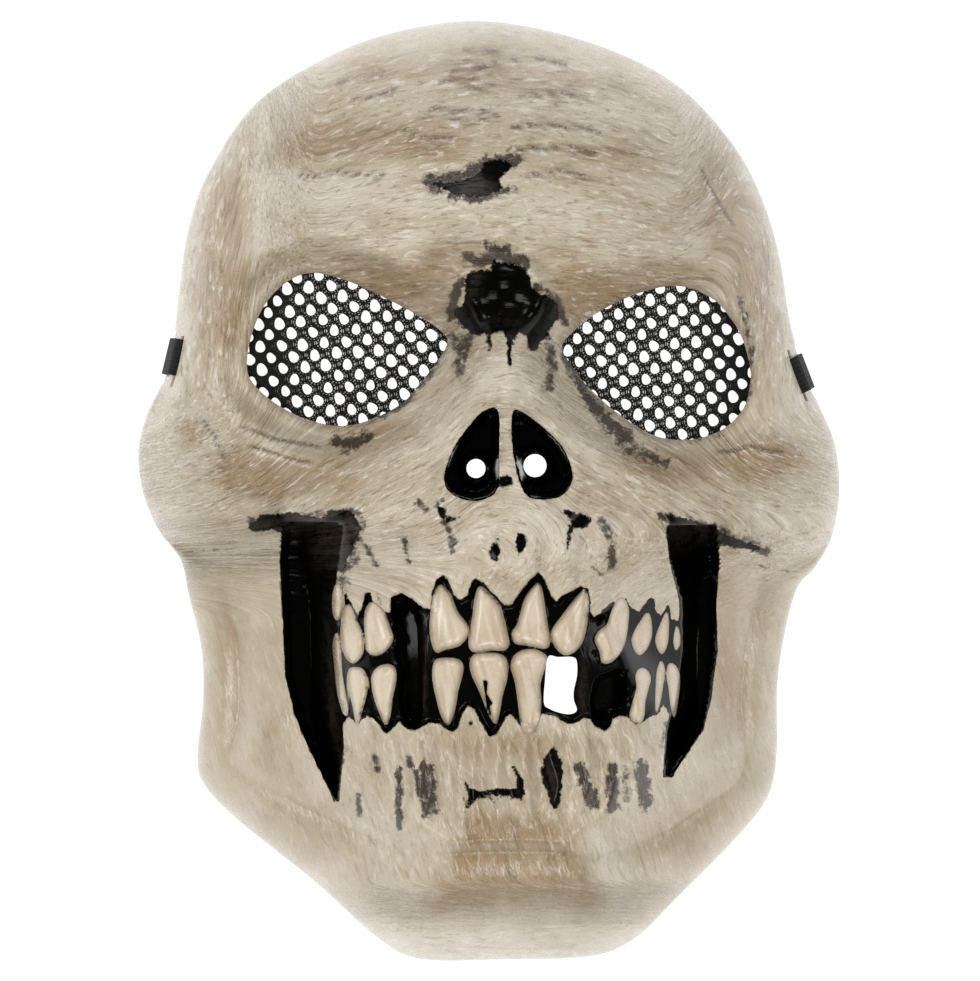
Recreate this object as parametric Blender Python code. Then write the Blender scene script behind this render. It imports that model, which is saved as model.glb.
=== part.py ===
"""A moulded plastic skull mask with net eyes and an elastic strap, lying face up on its rim.

+Z is up, out of the face. +Y runs from chin to crown and +X to the wearer's left.
The rim lies on z = 0, and the origin is the middle of the rim's box.
All sizes are in millimetres until place() turns them into metres.

The face is drawn in its front view, as (u, v) on the rim plane, with a height over each point.
place() carries such a point up along the sight line of the front view, so the outlines of
the front view hold at every height.
"""

import math

import bmesh
import bpy
import numpy as np
from mathutils import Vector
from mathutils.bvhtree import BVHTree

# Driving sizes
METRE = 0.001
WALL = 1.8
SIGHT_HEIGHT = 1600.0
SIGHT_SLANT = math.tan(math.radians(3.0))
GAP = 0.3
STRAP_WIDTH = 10.0
STRAP_THICK = 1.0
NET_THICK = 0.9
NET_DROP = 3.9
NET_MARGIN = 1.3
NET_PITCH = 7.4
NET_HOLE_RADIUS = 2.0
NET_MOST_HOLES = 60
NET_HOLE_SIDES = 4
NET_HOLE_INSET = 0.3

# Colours: linear red, green, blue
BONE = (0.56, 0.49, 0.38)
NET_BLACK = (0.012, 0.012, 0.013)
STRAP_BLACK = (0.015, 0.015, 0.016)
BONE_ROUGHNESS = 0.3
NET_ROUGHNESS = 0.8
STRAP_ROUGHNESS = 0.85
SHARP_ANGLE = 40
NET_SHARP_ANGLE = 30

# The rim's outline, clockwise from the crown: place, and the run and height of the wall there
RIM = [
    # u, v, wall_run, wall_height
    (0.5, 130.0, 62, 80),
    (27.0, 124.6, 62, 80),
    (50.5, 113.7, 58, 78),
    (67.0, 97.0, 50, 74),
    (76.0, 80.5, 42, 68),
    (80.8, 64.0, 38, 62),
    (83.3, 48.0, 32, 60),
    (86.8, 35.0, 28, 57),
    (91.5, 24.0, 27, 53),
    (96.0, 13.0, 26, 48),
    (97.3, 0.0, 24, 46),
    (95.3, -12.5, 20, 40),
    (90.8, -21.0, 12, 26),
    (85.4, -27.5, 10, 18),
    (81.6, -42.0, 10, 16),
    (79.9, -56.0, 10, 16),
    (79.9, -72.0, 10, 16),
    (77.6, -84.5, 9, 20),
    (69.0, -96.0, 12, 31),
    (51.7, -113.4, 17, 43),
    (40.3, -124.3, 23, 56),
    (28.0, -129.2, 29, 67),
    (4.0, -130.0, 30, 69),
    (-19.0, -129.8, 29, 67),
    (-31.0, -124.0, 23, 56),
    (-49.0, -107.9, 17, 42),
    (-70.0, -91.0, 12, 28),
    (-79.3, -81.0, 9, 18),
    (-81.0, -73.0, 10, 16),
    (-79.5, -58.0, 10, 16),
    (-79.9, -44.0, 10, 16),
    (-83.4, -29.0, 10, 18),
    (-85.6, -19.3, 12, 26),
    (-92.0, -10.5, 18, 40),
    (-96.2, 0.0, 22, 45),
    (-97.3, 11.0, 24, 47),
    (-95.0, 21.0, 26, 49),
    (-90.3, 31.0, 27, 54),
    (-87.6, 42.0, 29, 58),
    (-86.0, 56.0, 34, 60),
    (-83.6, 72.0, 38, 66),
    (-78.0, 88.0, 46, 72),
    (-64.5, 107.5, 54, 76),
    (-42.0, 121.5, 62, 80),
    (-21.0, 128.2, 62, 80),
]

# Level sections of the muzzle: its crest, and the shoulder on each side of it
MUZZLE = [
    # v, crest, centre, half_width, shoulder, power
    (70, 80, 4.0, 66, 46, 2.0),
    (44, 77, 4.0, 62, 44, 2.0),
    (20, 79, 4.3, 60, 46, 2.0),
    (0, 79, 4.5, 58, 47, 2.0),
    (-18, 81, 5.0, 51, 45, 2.1),
    (-30, 82, 5.5, 50, 42, 2.3),
    (-46, 82, 5.5, 50, 41, 2.4),
    (-64, 79, 5.5, 50, 41, 2.4),
    (-78, 75, 5.0, 52, 39, 2.2),
    (-89, 72, 4.5, 56, 34, 2.0),
    (-106, 73, 4.0, 60, 31, 1.9),
    (-118, 66, 4.0, 54, 30, 1.9),
    (-134, 54, 4.0, 44, 28, 2.0),
]

MUZZLE_FALL = 1.1
MUZZLE_BLUR = 3.0
MUZZLE_BLEND = 7.0

# The cranium: half of an ellipsoid that is longer up to the crown than down to the jaw
CRANIUM_CENTRE = (3.0, 36.0)
CRANIUM_HALF_WIDTH = 97.0
CRANIUM_UP = 100.0
CRANIUM_DOWN = 66.0
CRANIUM_HEIGHT = 89.0

# Rounded masses that stand as high as they say
MASSES = [
    # name, u, v, radius_u, radius_v, height
    ("cheekbone_right", -68.0, 6.0, 33.0, 25.0, 53.0),
    ("cheekbone_left", 70.0, 1.5, 31.0, 25.5, 52.0),
]

MASS_BLEND = 5.0

# Soft swellings and dips, added to the height
SWELLS = [
    # name, u, v, radius_u, radius_v, lift
    ("glabella", 4.0, 70.0, 15.0, 8.0, 3.5),
    ("brow_pit", 4.5, 52.5, 12.0, 9.5, -9.0),
    ("forehead_crack", -6.0, 84.5, 12.0, 4.5, -2.6),
    ("temple_hollow_right", -71.0, 62.0, 9.0, 24.0, -5.0),
    ("temple_hollow_left", 71.0, 60.0, 8.0, 24.0, -5.0),
    ("nose_bridge", 4.5, 30.0, 8.5, 13.0, 8.0),
    ("nose_spine", 4.8, -5.0, 6.0, 5.0, 2.5),
    ("cheek_hollow_right", -27.0, -8.0, 12.0, 10.0, -3.5),
    ("cheek_hollow_left", 38.0, -9.0, 12.0, 10.0, -3.5),
    ("chin_boss", 4.5, -107.0, 27.0, 11.0, 4.0),
    ("chin_fold", 4.5, -87.0, 24.0, 6.0, -2.5),
    ("chin_corner_right", -22.0, -113.0, 10.0, 9.0, 2.5),
    ("chin_corner_left", 31.0, -113.0, 10.0, 9.0, 2.5),
]

# Ridges drawn along a line, added to the height
RIDGES = [
    # name, half_width, lift, points
    ("brow_right", 6.5, 5.0, [(-9, 61), (-28, 68), (-48, 71), (-63, 62), (-70, 46)]),
    ("brow_left", 6.5, 5.0, [(18, 60), (36, 65), (54, 68), (68, 58), (75, 42)]),
    ("temple_line_right", 4.0, 2.0, [(-66, 62), (-62, 80), (-57, 95)]),
    ("temple_line_left", 4.0, 2.0, [(71, 58), (66, 76), (60, 92)]),
    ("jaw_border_right", 5.0, 2.0, [(-70, -80), (-48, -98), (-24, -117)]),
    ("jaw_border_left", 5.0, 2.0, [(72, -82), (55, -98), (33, -117)]),
]

# Eye openings, and the height and slopes of the socket that each lies in
EYE_RIGHT = [
    (-49.4, 60.2), (-40.6, 58.4), (-30.3, 53.9), (-20.2, 48.6), (-13.7, 44.2), (-11.9, 40.6),
    (-16.8, 32.9), (-24.0, 24.5), (-33.7, 19.4), (-42.0, 17.9), (-51.5, 20.0), (-60.0, 24.5),
    (-66.1, 30.3), (-67.3, 35.6), (-66.0, 43.1), (-62.2, 51.7), (-56.1, 57.8),
]
EYE_LEFT = [
    (20.1, 39.1), (21.5, 42.5), (29.7, 49.2), (41.1, 54.7), (52.2, 56.8), (61.5, 53.5),
    (66.6, 48.3), (70.2, 42.2), (72.3, 34.5), (72.3, 29.2), (70.2, 22.3), (64.0, 16.6),
    (55.3, 14.1), (46.2, 15.1), (36.9, 20.4), (28.0, 28.0), (22.6, 34.8),
]
SOCKETS = {
    # side: outline, middle_u, middle_v, height, slope_u, slope_v
    "right": (EYE_RIGHT, -40.0, 39.0, 55.8, 0.36, 0.10),
    "left": (EYE_LEFT, 47.0, 36.0, 55.6, -0.38, 0.10),
}
SOCKET_LIP = 2.0
EYE_SIGHT = (25.0, 110.0)
SOCKET_BEVEL = 12.0

# Nose cavities, their floor, and the breathing hole in each
NOSE_RIGHT = [
    (2.3, 22.2), (-1.9, 21.9), (-5.4, 18.4), (-9.4, 13.0), (-11.8, 7.6), (-12.8, 3.2),
    (-11.3, -0.4), (-7.4, -2.4), (-3.5, -2.9), (0.5, -1.4), (2.3, 1.6), (2.5, 10.0),
]
NOSE_LEFT = [
    (6.2, 21.7), (9.4, 21.5), (12.9, 19.0), (16.4, 16.0), (19.8, 12.5), (22.0, 8.1),
    (23.0, 4.1), (21.7, 0.1), (18.3, -2.1), (13.4, -2.4), (9.4, -0.4), (6.5, 10.0),
]
NOSE_FLOOR = 67.0
BREATHING_HOLES = [
    # u, v, radius
    (-3.9, 6.1, 2.65),
    (12.5, 6.9, 3.2),
]
BREATHING_HOLE_SIDES = 12
BREATHING_SIGHT = (40.0, 100.0)

# Side recesses between the jaw and the teeth, level by level: jaw edge, fold, tooth arch edge
RECESS_RIGHT = [
    # v, jaw_edge, fold, arch_edge
    (-13.0, -56.8, -50.8, -40.0),
    (-20.1, -57.9, -50.3, -41.0),
    (-30.3, -57.3, -48.1, -43.0),
    (-40.0, -57.0, -47.8, -42.6),
    (-51.0, -56.5, -47.6, -42.0),
    (-62.5, -53.6, -47.1, -41.3),
    (-70.8, -50.1, -46.4, -40.8),
    (-83.0, -44.3, -43.2, -41.9),
]
RECESS_LEFT = [
    (-13.0, 62.4, 58.3, 50.4),
    (-20.1, 63.5, 57.5, 51.3),
    (-30.3, 62.6, 55.6, 53.0),
    (-44.2, 63.0, 55.6, 53.0),
    (-58.0, 61.2, 55.7, 51.1),
    (-66.6, 58.9, 54.8, 49.2),
    (-77.0, 52.0, 50.9, 49.6),
]
RECESS_FLOOR = 24.0
RECESS_ARCH_FLOOR = 36.0
RECESS_TOP = 120.0

# The jaw's side plates rise from the rim to the edge of the recess
PLATE_HALF_WIDTH = 80.5
PLATE_FOOT = 16.0
PLATE_SLOPE = 0.80
PLATE_TOP = -14.0
PLATE_MIDDLE = 0.3
PLATE_MOST = 46.0
PLATE_DROP = 60.0
PLATE_BLEND = 4.0

# The mouth: the band between the gums lies deeper than the arch, and deeper again where teeth are gone
MOUTH = {"left_edge": -43.0, "right_edge": 53.5, "upper_gum": -28.5, "lower_gum": -65.5}
MOUTH_DEPTH = 3.0
TOOTH_GAPS = [
    # u, v, half_width, half_height, depth
    (-22.5, -46.5, 5.4, 17.5, 6.0),
    (33.5, -56.0, 5.2, 8.0, 6.0),
    (19.8, -54.0, 4.6, 8.6, 6.0),
]
MOUTH_HOLE = [
    (16.3, -46.1), (23.7, -46.1), (24.2, -49.0), (23.9, -61.6), (19.5, -62.0), (15.2, -59.5),
    (15.6, -51.0),
]
MOUTH_SIGHT = (50.0, 100.0)

# Teeth: the root's tip, the crown's end and the crown's width
TEETH = [
    # name, tip_u, tip_v, end_u, end_v, width
    ("upper_1", -38.4, -31.6, -38.0, -46.8, 5.6),
    ("upper_2", -33.4, -30.6, -31.0, -45.8, 7.4),
    ("upper_3", -13.4, -25.9, -10.4, -44.3, 10.4),
    ("upper_4", -2.6, -26.2, -0.2, -44.5, 10.6),
    ("upper_5", 13.1, -25.9, 11.6, -43.3, 9.8),
    ("upper_6", 26.1, -27.6, 21.4, -45.0, 9.2),
    ("upper_7", 36.6, -29.8, 32.6, -47.8, 7.6),
    ("upper_8", 43.2, -33.6, 41.8, -45.8, 4.8),
    ("upper_9", 48.6, -33.1, 47.8, -44.8, 3.6),
    ("lower_1", -36.6, -63.8, -36.8, -49.8, 5.6),
    ("lower_2", -28.4, -64.4, -29.0, -48.3, 6.6),
    ("lower_3", -11.2, -64.1, -11.8, -46.4, 8.0),
    ("lower_4", 1.8, -63.3, -0.4, -45.2, 9.4),
    ("lower_5", 11.5, -65.2, 10.7, -44.2, 9.2),
    ("lower_6", 40.8, -64.4, 42.0, -48.9, 4.8),
    ("lower_7", 50.6, -60.6, 50.6, -47.8, 3.6),
]
TOOTH_PROFILE_ALONG = (0.0, 0.35, 0.8, 1.0)
TOOTH_PROFILE_WIDTH = (0.16, 0.62, 1.0, 0.74)
TOOTH_ROOT_SINK = 2.2
TOOTH_INSET = (0.62, 0.82)
TOOTH_SIDE = 1.2
TOOTH_EDGE = 3.4
TOOTH_CROWN = 3.9

# The strap's slots through the wall, and the notches in the rim below them
STRAPS = {
    # side: sign along X, v of the middle
    "right": (-1, 36.8),
    "left": (1, 33.2),
}
NOTCH_LENGTH = 15.0
NOTCH_HEIGHT = 6.0
STRAP_UNDER = 3.4
NOTCH_INWARD = 14.0
NOTCH_OUTWARD = 6.0
SLOT_LENGTH = 14.0
SLOT_SHIFT = -1.7
SLOT_LOW = 21.6
SLOT_HIGH = 24.8

# The strap's way from its right slot over the floor inside the crown to its left slot
STRAP_ROUTE = [
    # x, y, z, turn (0 lies flat, 1 stands on edge)
    (-77.5, 36.0, 22.6, 0.0),
    (-73.5, 40.5, 20.8, 0.35),
    (-71.5, 47.0, 16.0, 0.75),
    (-70.5, 56.0, 9.0, 1.0),
    (-66.0, 74.0, 5.8, 1.0),
    (-54.0, 92.0, 5.6, 1.0),
    (-30.0, 106.0, 5.6, 1.0),
    (1.0, 110.5, 5.6, 1.0),
    (31.0, 105.0, 5.6, 1.0),
    (53.5, 90.5, 5.6, 1.0),
    (65.0, 72.5, 5.8, 1.0),
    (69.0, 54.5, 9.0, 1.0),
    (70.0, 44.0, 16.0, 0.75),
    (72.5, 37.0, 20.8, 0.35),
    (76.5, 32.2, 22.6, 0.0),
]
STRAP_STEPS = 2
STRAP_FOOT = 6.6
STRAP_MIDWAY = 12.0
STRAP_HEAD_INSIDE = 17.5
STRAP_HEAD_OUTSIDE = 19.0
STRAP_TURN = 0.9
SEWN_LENGTH = 9.0

# The front view's raster, on which the heights are worked out
RASTER_STEP = 1.0
RASTER_U = np.arange(-110.0, 110.5, RASTER_STEP)
RASTER_V = np.arange(-142.0, 142.5, RASTER_STEP)

# The mesh: cells across and up the middle, and the rings of the wall round it
STAR_CENTRE = (2.0, -12.0)
CELLS = (26, 34)
CORE_REACH = 0.93
RINGS = (0.965, 0.988, 1.0)
EVENNESS = 0.8
SQUARE_FROM = (0.78, 0.94)
WALL_RISE = 1.5
WALL_BLEND = 3.0
OVER_ALL = 130.0
UNDER_ALL = -20.0
POCKET_TOP = 110.0
LEAST_CUP = 1.0
MOST_DROP = 4.0
SEAT = 0.9
SOFTNESS = 2.4
FLAT_ANGLE = 2.0
FACE_BLUR = 1.2
PROBE_START = 0.02
PROBE_STEP = 0.0004
SLANT_SPAN = 8.0


def place(u, v, z):
    """A front-view point at a height, in metres: it stays on its sight line."""
    near = 1.0 - z / SIGHT_HEIGHT
    return METRE * (u * near - z * SIGHT_SLANT), METRE * v * near, METRE * z


def smooth_step(low, high, value):
    share = np.clip((value - low) / (high - low), 0.0, 1.0)
    return share * share * (3.0 - 2.0 * share)


def smooth_max(a, b, width):
    share = np.clip(0.5 + 0.5 * (a - b) / width, 0.0, 1.0)
    return b + (a - b) * share + width * share * (1.0 - share)


def smooth_min(a, b, width):
    return -smooth_max(-a, -b, width)


def closed_curve(points, steps):
    """Points of a smooth closed curve through the given ones, steps to each span."""
    given = np.array(points, float)
    before, after, beyond = (np.roll(given, shift, 0) for shift in (1, -1, -2))
    spans = []
    for step in np.arange(steps) / steps:
        a = 2.0 * given
        b = (after - before) * step
        c = (2.0 * before - 5.0 * given + 4.0 * after - beyond) * step**2
        d = (3.0 * given - before - 3.0 * after + beyond) * step**3
        spans.append(0.5 * (a + b + c + d))
    return np.stack(spans, 1).reshape(-1, given.shape[1])


def line_distance(points, u, v, closed):
    """How far (u, v) is from a line of points."""
    ends = np.array(points, float)
    best = np.full(u.shape, np.inf)
    last = len(ends) if closed else len(ends) - 1
    for i in range(last):
        au, av = ends[i]
        bu, bv = ends[(i + 1) % len(ends)]
        du, dv = bu - au, bv - av
        share = np.clip(((u - au) * du + (v - av) * dv) / (du * du + dv * dv), 0.0, 1.0)
        best = np.minimum(best, np.hypot(u - au - share * du, v - av - share * dv))
    return best


def inside_distance(outline, u, v):
    """How far (u, v) is inside a closed outline, negative outside it."""
    ends = np.array(outline, float)
    inside = np.zeros(u.shape, bool)
    for (au, av), (bu, bv) in zip(ends, np.roll(ends, -1, 0)):
        if av != bv:
            inside ^= ((av > v) != (bv > v)) & (u < (bu - au) * (v - av) / (bv - av) + au)
    distance = line_distance(outline, u, v, closed=True)
    return np.where(inside, distance, -distance)


def blurred(field, radius):
    """A field on the raster, softened over a radius in millimetres."""
    reach = int(3 * radius / RASTER_STEP)
    weights = np.exp(-0.5 * (np.arange(-reach, reach + 1) * RASTER_STEP / radius) ** 2)
    weights /= weights.sum()
    for axis in (0, 1):
        pad = [(reach, reach) if k == axis else (0, 0) for k in (0, 1)]
        padded = np.pad(field, pad, mode="edge")
        size = field.shape[axis]
        field = sum(
            w * np.take(padded, range(i, i + size), axis) for i, w in enumerate(weights)
        )
    return field


def column(rows, index, v):
    """A column of a table whose rows go down from the top, read at v."""
    table = np.array(rows, float)[::-1]
    return np.interp(v, table[:, 0], table[:, index])


def face_heights(u, v):
    """The height of the face over the rim plane, without the wall that runs round it."""
    middle_u, middle_v = CRANIUM_CENTRE
    span = np.where(v > middle_v, CRANIUM_UP, CRANIUM_DOWN)
    cranium = 1.0 - ((u - middle_u) / CRANIUM_HALF_WIDTH) ** 2 - ((v - middle_v) / span) ** 2
    cranium = CRANIUM_HEIGHT * np.sign(cranium) * np.sqrt(np.abs(cranium))

    crest, centre, half, shoulder, power = (column(MUZZLE, k, v) for k in range(1, 6))
    across = np.abs(u - centre) / half
    dome = np.clip(1.0 - across**power, 0.0, 1.0) ** (1.0 / power)
    fall = MUZZLE_FALL * half * np.clip(across - 1.0, 0.0, None)
    muzzle = blurred(shoulder + (crest - shoulder) * dome - fall, MUZZLE_BLUR)

    plate = PLATE_FOOT + PLATE_SLOPE * (PLATE_HALF_WIDTH - np.abs(u - PLATE_MIDDLE))
    plate -= PLATE_DROP * smooth_step(PLATE_TOP - 4.0, PLATE_TOP + 6.0, v)
    plate = np.minimum(plate, PLATE_MOST)

    height = smooth_max(smooth_max(cranium, muzzle, MUZZLE_BLEND), plate, PLATE_BLEND)
    for _, mass_u, mass_v, radius_u, radius_v, top in MASSES:
        share = 1.0 - ((u - mass_u) / radius_u) ** 2 - ((v - mass_v) / radius_v) ** 2
        height = smooth_max(height, top * np.sign(share) * np.sqrt(np.abs(share)), MASS_BLEND)
    for _, half_width, lift, points in RIDGES:
        height += lift * np.exp(-((line_distance(points, u, v, False) / half_width) ** 2))
    for _, mid_u, mid_v, radius_u, radius_v, lift in SWELLS:
        far = ((u - mid_u) / radius_u) ** 2 + ((v - mid_v) / radius_v) ** 2
        height += lift * np.exp(-far)
    height = blurred(height, FACE_BLUR)

    for side in SOCKETS:
        outline = closed_curve(SOCKETS[side][0], 4)
        outside = -inside_distance(outline, u, v)
        share = smooth_step(SOCKET_LIP, SOCKET_LIP + SOCKET_BEVEL, outside)
        socket = socket_height(side, u, v)
        height = socket + (height - socket) * share
    height -= mouth_depth(u, v)
    return height


def mouth_depth(u, v):
    """How far the band between the gums, and the gaps of lost teeth in it, lie below the arch."""
    from_sides = np.minimum(u - MOUTH["left_edge"], MOUTH["right_edge"] - u)
    from_gums = np.minimum(MOUTH["upper_gum"] - v, v - MOUTH["lower_gum"])
    depth = MOUTH_DEPTH * smooth_step(0.0, 2.5, np.minimum(from_sides, from_gums))
    for gap_u, gap_v, half_width, half_height, gap_depth in TOOTH_GAPS:
        inside = np.minimum(half_width - np.abs(u - gap_u), half_height - np.abs(v - gap_v))
        depth = np.maximum(depth, gap_depth * smooth_step(0.0, 2.0, inside))
    return depth


def socket_height(side, u, v):
    """The plane in which an eye opening lies, with the net behind it."""
    _, middle_u, middle_v, height, slope_u, slope_v = SOCKETS[side]
    across, up = u - middle_u, v - middle_v
    return height + slope_u * across + slope_v * up


def sampled(field, u, v):
    """A raster field read between its points."""
    i = np.clip((v - RASTER_V[0]) / RASTER_STEP, 0, len(RASTER_V) - 1.001)
    j = np.clip((u - RASTER_U[0]) / RASTER_STEP, 0, len(RASTER_U) - 1.001)
    i0, j0 = i.astype(int), j.astype(int)
    di, dj = i - i0, j - j0
    top = field[i0, j0] * (1 - dj) + field[i0, j0 + 1] * dj
    low = field[i0 + 1, j0] * (1 - dj) + field[i0 + 1, j0 + 1] * dj
    return top * (1 - di) + low * di


def rim_at(angle):
    """(radius, wall run, wall height) round the star's centre."""
    curve = closed_curve(RIM, 8)
    du, dv = curve[:, 0] - STAR_CENTRE[0], curve[:, 1] - STAR_CENTRE[1]
    turn = np.arctan2(dv, du)
    order = np.argsort(turn)
    return [np.interp(angle, turn[order], values[order], period=2 * math.pi)
            for values in (np.hypot(du, dv), curve[:, 2], curve[:, 3])]


def wall_cap(depth, run, height):
    """How high the wall stands at a depth in from the rim: a quarter of an ellipse."""
    share = np.clip(1.0 - depth / run, 0.0, 1.0)
    return height * np.sqrt(1.0 - share**2) + WALL_RISE * np.clip(depth - run, 0.0, None)


def disc_grid():
    """Points (radius share, angle) and quads of a disc: a square core, then rings round it."""
    across, up = CELLS
    s, t = np.meshgrid(np.linspace(-1, 1, across + 1), np.linspace(-1, 1, up + 1))
    s, t = (EVENNESS * x + (1.0 - EVENNESS) * x * np.abs(x) for x in (s, t))
    a, b = s * np.sqrt(1 - t**2 / 2), t * np.sqrt(1 - s**2 / 2)
    core = np.stack([CORE_REACH * np.hypot(a, b).ravel(), np.arctan2(b, a).ravel()], 1)
    number = np.arange((across + 1) * (up + 1)).reshape(up + 1, across + 1)
    quads = [(number[j, i], number[j, i + 1], number[j + 1, i + 1], number[j + 1, i])
             for j in range(up) for i in range(across)]
    loop = [*number[0, :-1], *number[:-1, -1], *number[-1, :0:-1], *number[:0:-1, 0]]
    points, count, size = [core], len(core), len(loop)
    within = loop
    for reach in RINGS:
        ring = core[loop].copy()
        ring[:, 0] = reach
        points.append(ring)
        outer = list(range(count, count + size))
        quads += [(within[k], outer[k], outer[(k + 1) % size], within[(k + 1) % size])
                  for k in range(size)]
        within, count = outer, count + size
    return np.concatenate(points), quads, within


def outer_points(field):
    """The outer surface's grid: points (u, v, z), faces, rim loop and shares of the radius."""
    polar, quads, loop = disc_grid()
    share, angle = polar.T
    radius, run, height = rim_at(angle)
    u = STAR_CENTRE[0] + share * radius * np.cos(angle)
    v = STAR_CENTRE[1] + share * radius * np.sin(angle)
    depth = line_distance(closed_curve(RIM, 8)[:, :2], u, v, closed=True)
    z = smooth_min(sampled(field, u, v), wall_cap(depth, run, height), WALL_BLEND)
    z[loop] = 0.0
    faces = []
    for a, b, c, d in quads:
        level = abs(z[a] - z[c]) < abs(z[b] - z[d])
        faces += [(a, b, c), (a, c, d)] if level else [(b, c, d), (b, d, a)]
    return np.stack([u, v, z], 1), np.array(faces), loop, share


def inner_points(points, faces, loop, share):
    """The inner surface: straight below the face, and square to the wall beside the rim."""
    corners = points[faces]
    normal = np.cross(corners[:, 1] - corners[:, 0], corners[:, 2] - corners[:, 0])
    unit = normal / np.linalg.norm(normal, axis=1)[:, None]
    drop = np.full(len(points), WALL)
    square = np.zeros_like(points)
    for k in range(3):
        np.maximum.at(drop, faces[:, k], WALL / np.maximum(unit[:, 2], WALL / MOST_DROP))
        np.add.at(square, faces[:, k], normal)
    square[loop, 2] = 0.0
    square *= WALL / np.linalg.norm(square, axis=1)[:, None]
    below = np.stack([0 * drop, 0 * drop, drop], 1)
    beside = smooth_step(*SQUARE_FROM, share)[:, None]
    inner = points - below * (1 - beside) - square * beside
    inner[loop, 2] = 0.0
    return inner


def block(field):
    """The plain shell as a closed sheet, and its outer surface as a tree for later heights."""
    points, faces, loop, share = outer_points(field)
    inner = inner_points(points, faces, loop, share)
    mesh = bmesh.new()
    top = [mesh.verts.new(place(*point)) for point in points]
    low = [mesh.verts.new(place(*point)) for point in inner]
    for face in faces:
        mesh.faces.new([top[i] for i in face])
    tree = BVHTree.FromBMesh(mesh)
    for face in faces:
        mesh.faces.new([low[i] for i in face[::-1]])
    for k in range(len(loop)):
        here, after = loop[k], loop[(k + 1) % len(loop)]
        mesh.faces.new([top[after], top[here], low[here], low[after]])
    bmesh.ops.recalc_face_normals(mesh, faces=mesh.faces)
    return object_from("mask_shell", mesh), tree


def surface_height(tree, u, v):
    """The height of the plain shell's outer surface over a front-view point."""
    start, end = Vector(place(u, v, OVER_ALL)), Vector(place(u, v, UNDER_ALL))
    hit = tree.ray_cast(start, (end - start).normalized())[0]
    return hit.z / METRE if hit else 0.0


def object_from(name, mesh):
    """A mesh object of flat triangles, as the Booleans need."""
    bmesh.ops.triangulate(mesh, faces=mesh.faces)
    data = bpy.data.meshes.new(name)
    mesh.to_mesh(data)
    mesh.free()
    thing = bpy.data.objects.new(name, data)
    bpy.context.scene.collection.objects.link(thing)
    return thing


def sight_prism(name, outline, low, high):
    """A closed prism that runs along the sight lines over an outline, between two heights."""
    mesh = bmesh.new()
    bottom = [mesh.verts.new(place(u, v, low)) for u, v in outline]
    top = [mesh.verts.new(place(u, v, high)) for u, v in outline]
    size = len(outline)
    for k in range(size):
        after = (k + 1) % size
        mesh.faces.new([bottom[k], bottom[after], top[after], top[k]])
    mesh.faces.new(bottom[::-1])
    mesh.faces.new(top)
    bmesh.ops.recalc_face_normals(mesh, faces=mesh.faces)
    return object_from(name, mesh)


def box(name, low, high):
    """A closed box between two corners in millimetres."""
    mesh = bmesh.new()
    bmesh.ops.create_cube(mesh, size=1.0)
    for vert in mesh.verts:
        for k in range(3):
            vert.co[k] = METRE * (low[k] if vert.co[k] < 0 else high[k])
    return object_from(name, mesh)


def combine(thing, tool, operation):
    """Cuts or joins with another object, applies the result and removes that object."""
    modifier = thing.modifiers.new(tool.name, "BOOLEAN")
    modifier.operation = operation
    modifier.solver = "EXACT"
    modifier.object = tool
    graph = bpy.context.evaluated_depsgraph_get()
    made = bmesh.new()
    made.from_object(thing, graph)
    bmesh.ops.triangulate(made, faces=made.faces)
    thing.modifiers.clear()
    made.to_mesh(thing.data)
    made.free()
    bpy.data.objects.remove(tool)


def merge_flats(thing):
    """Joins neighbouring triangles that lie in one plane, and closes slivers."""
    mesh = bmesh.new()
    mesh.from_mesh(thing.data)
    angle = math.radians(FLAT_ANGLE)
    bmesh.ops.dissolve_limit(mesh, angle_limit=angle, verts=mesh.verts, edges=mesh.edges)
    bmesh.ops.triangulate(mesh, faces=mesh.faces)
    mesh.to_mesh(thing.data)
    mesh.free()


def circle(u, v, radius, sides):
    turn = np.arange(sides) * 2 * math.pi / sides
    return [(u + radius * math.cos(a), v + radius * math.sin(a)) for a in turn]


def tooth_outline(tip, end, width):
    """A tooth's outline: narrow at the root's tip, full near the crown's end."""
    axis = np.subtract(end, tip)
    across = np.array([-axis[1], axis[0]]) / np.hypot(*axis)
    right, left = [], []
    for along, share in zip(TOOTH_PROFILE_ALONG, TOOTH_PROFILE_WIDTH):
        middle = np.add(tip, axis * along)
        right.append(middle + across * share * width / 2)
        left.append(middle - across * share * width / 2)
    return right + left[::-1]


def tooth(name, tree, tip, end, width):
    """A tooth that stands out of the mouth's floor: a sunk foot and a narrower bowed top."""
    outline = np.array(tooth_outline(tip, end, width))
    middle = outline.mean(0)
    top = middle + (outline - middle) * np.array(TOOTH_INSET)
    mesh = bmesh.new()
    rings = []
    for ring, lift in ((outline, -TOOTH_ROOT_SINK), (outline, TOOTH_SIDE), (top, TOOTH_EDGE)):
        ring_points = [place(u, v, surface_height(tree, u, v) + lift) for u, v in ring]
        rings.append([mesh.verts.new(point) for point in ring_points])
    size = len(outline)
    for low, high in zip(rings, rings[1:]):
        for k in range(size):
            after = (k + 1) % size
            mesh.faces.new([low[k], low[after], high[after], high[k]])
    here = surface_height(tree, *middle)
    for ring, lift in ((rings[0], -TOOTH_ROOT_SINK), (rings[-1], TOOTH_CROWN)):
        hub = mesh.verts.new(place(*middle, here + lift))
        for k in range(size):
            mesh.faces.new([ring[k], ring[(k + 1) % size], hub])
    bmesh.ops.recalc_face_normals(mesh, faces=mesh.faces)
    return object_from(name, mesh)


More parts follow.
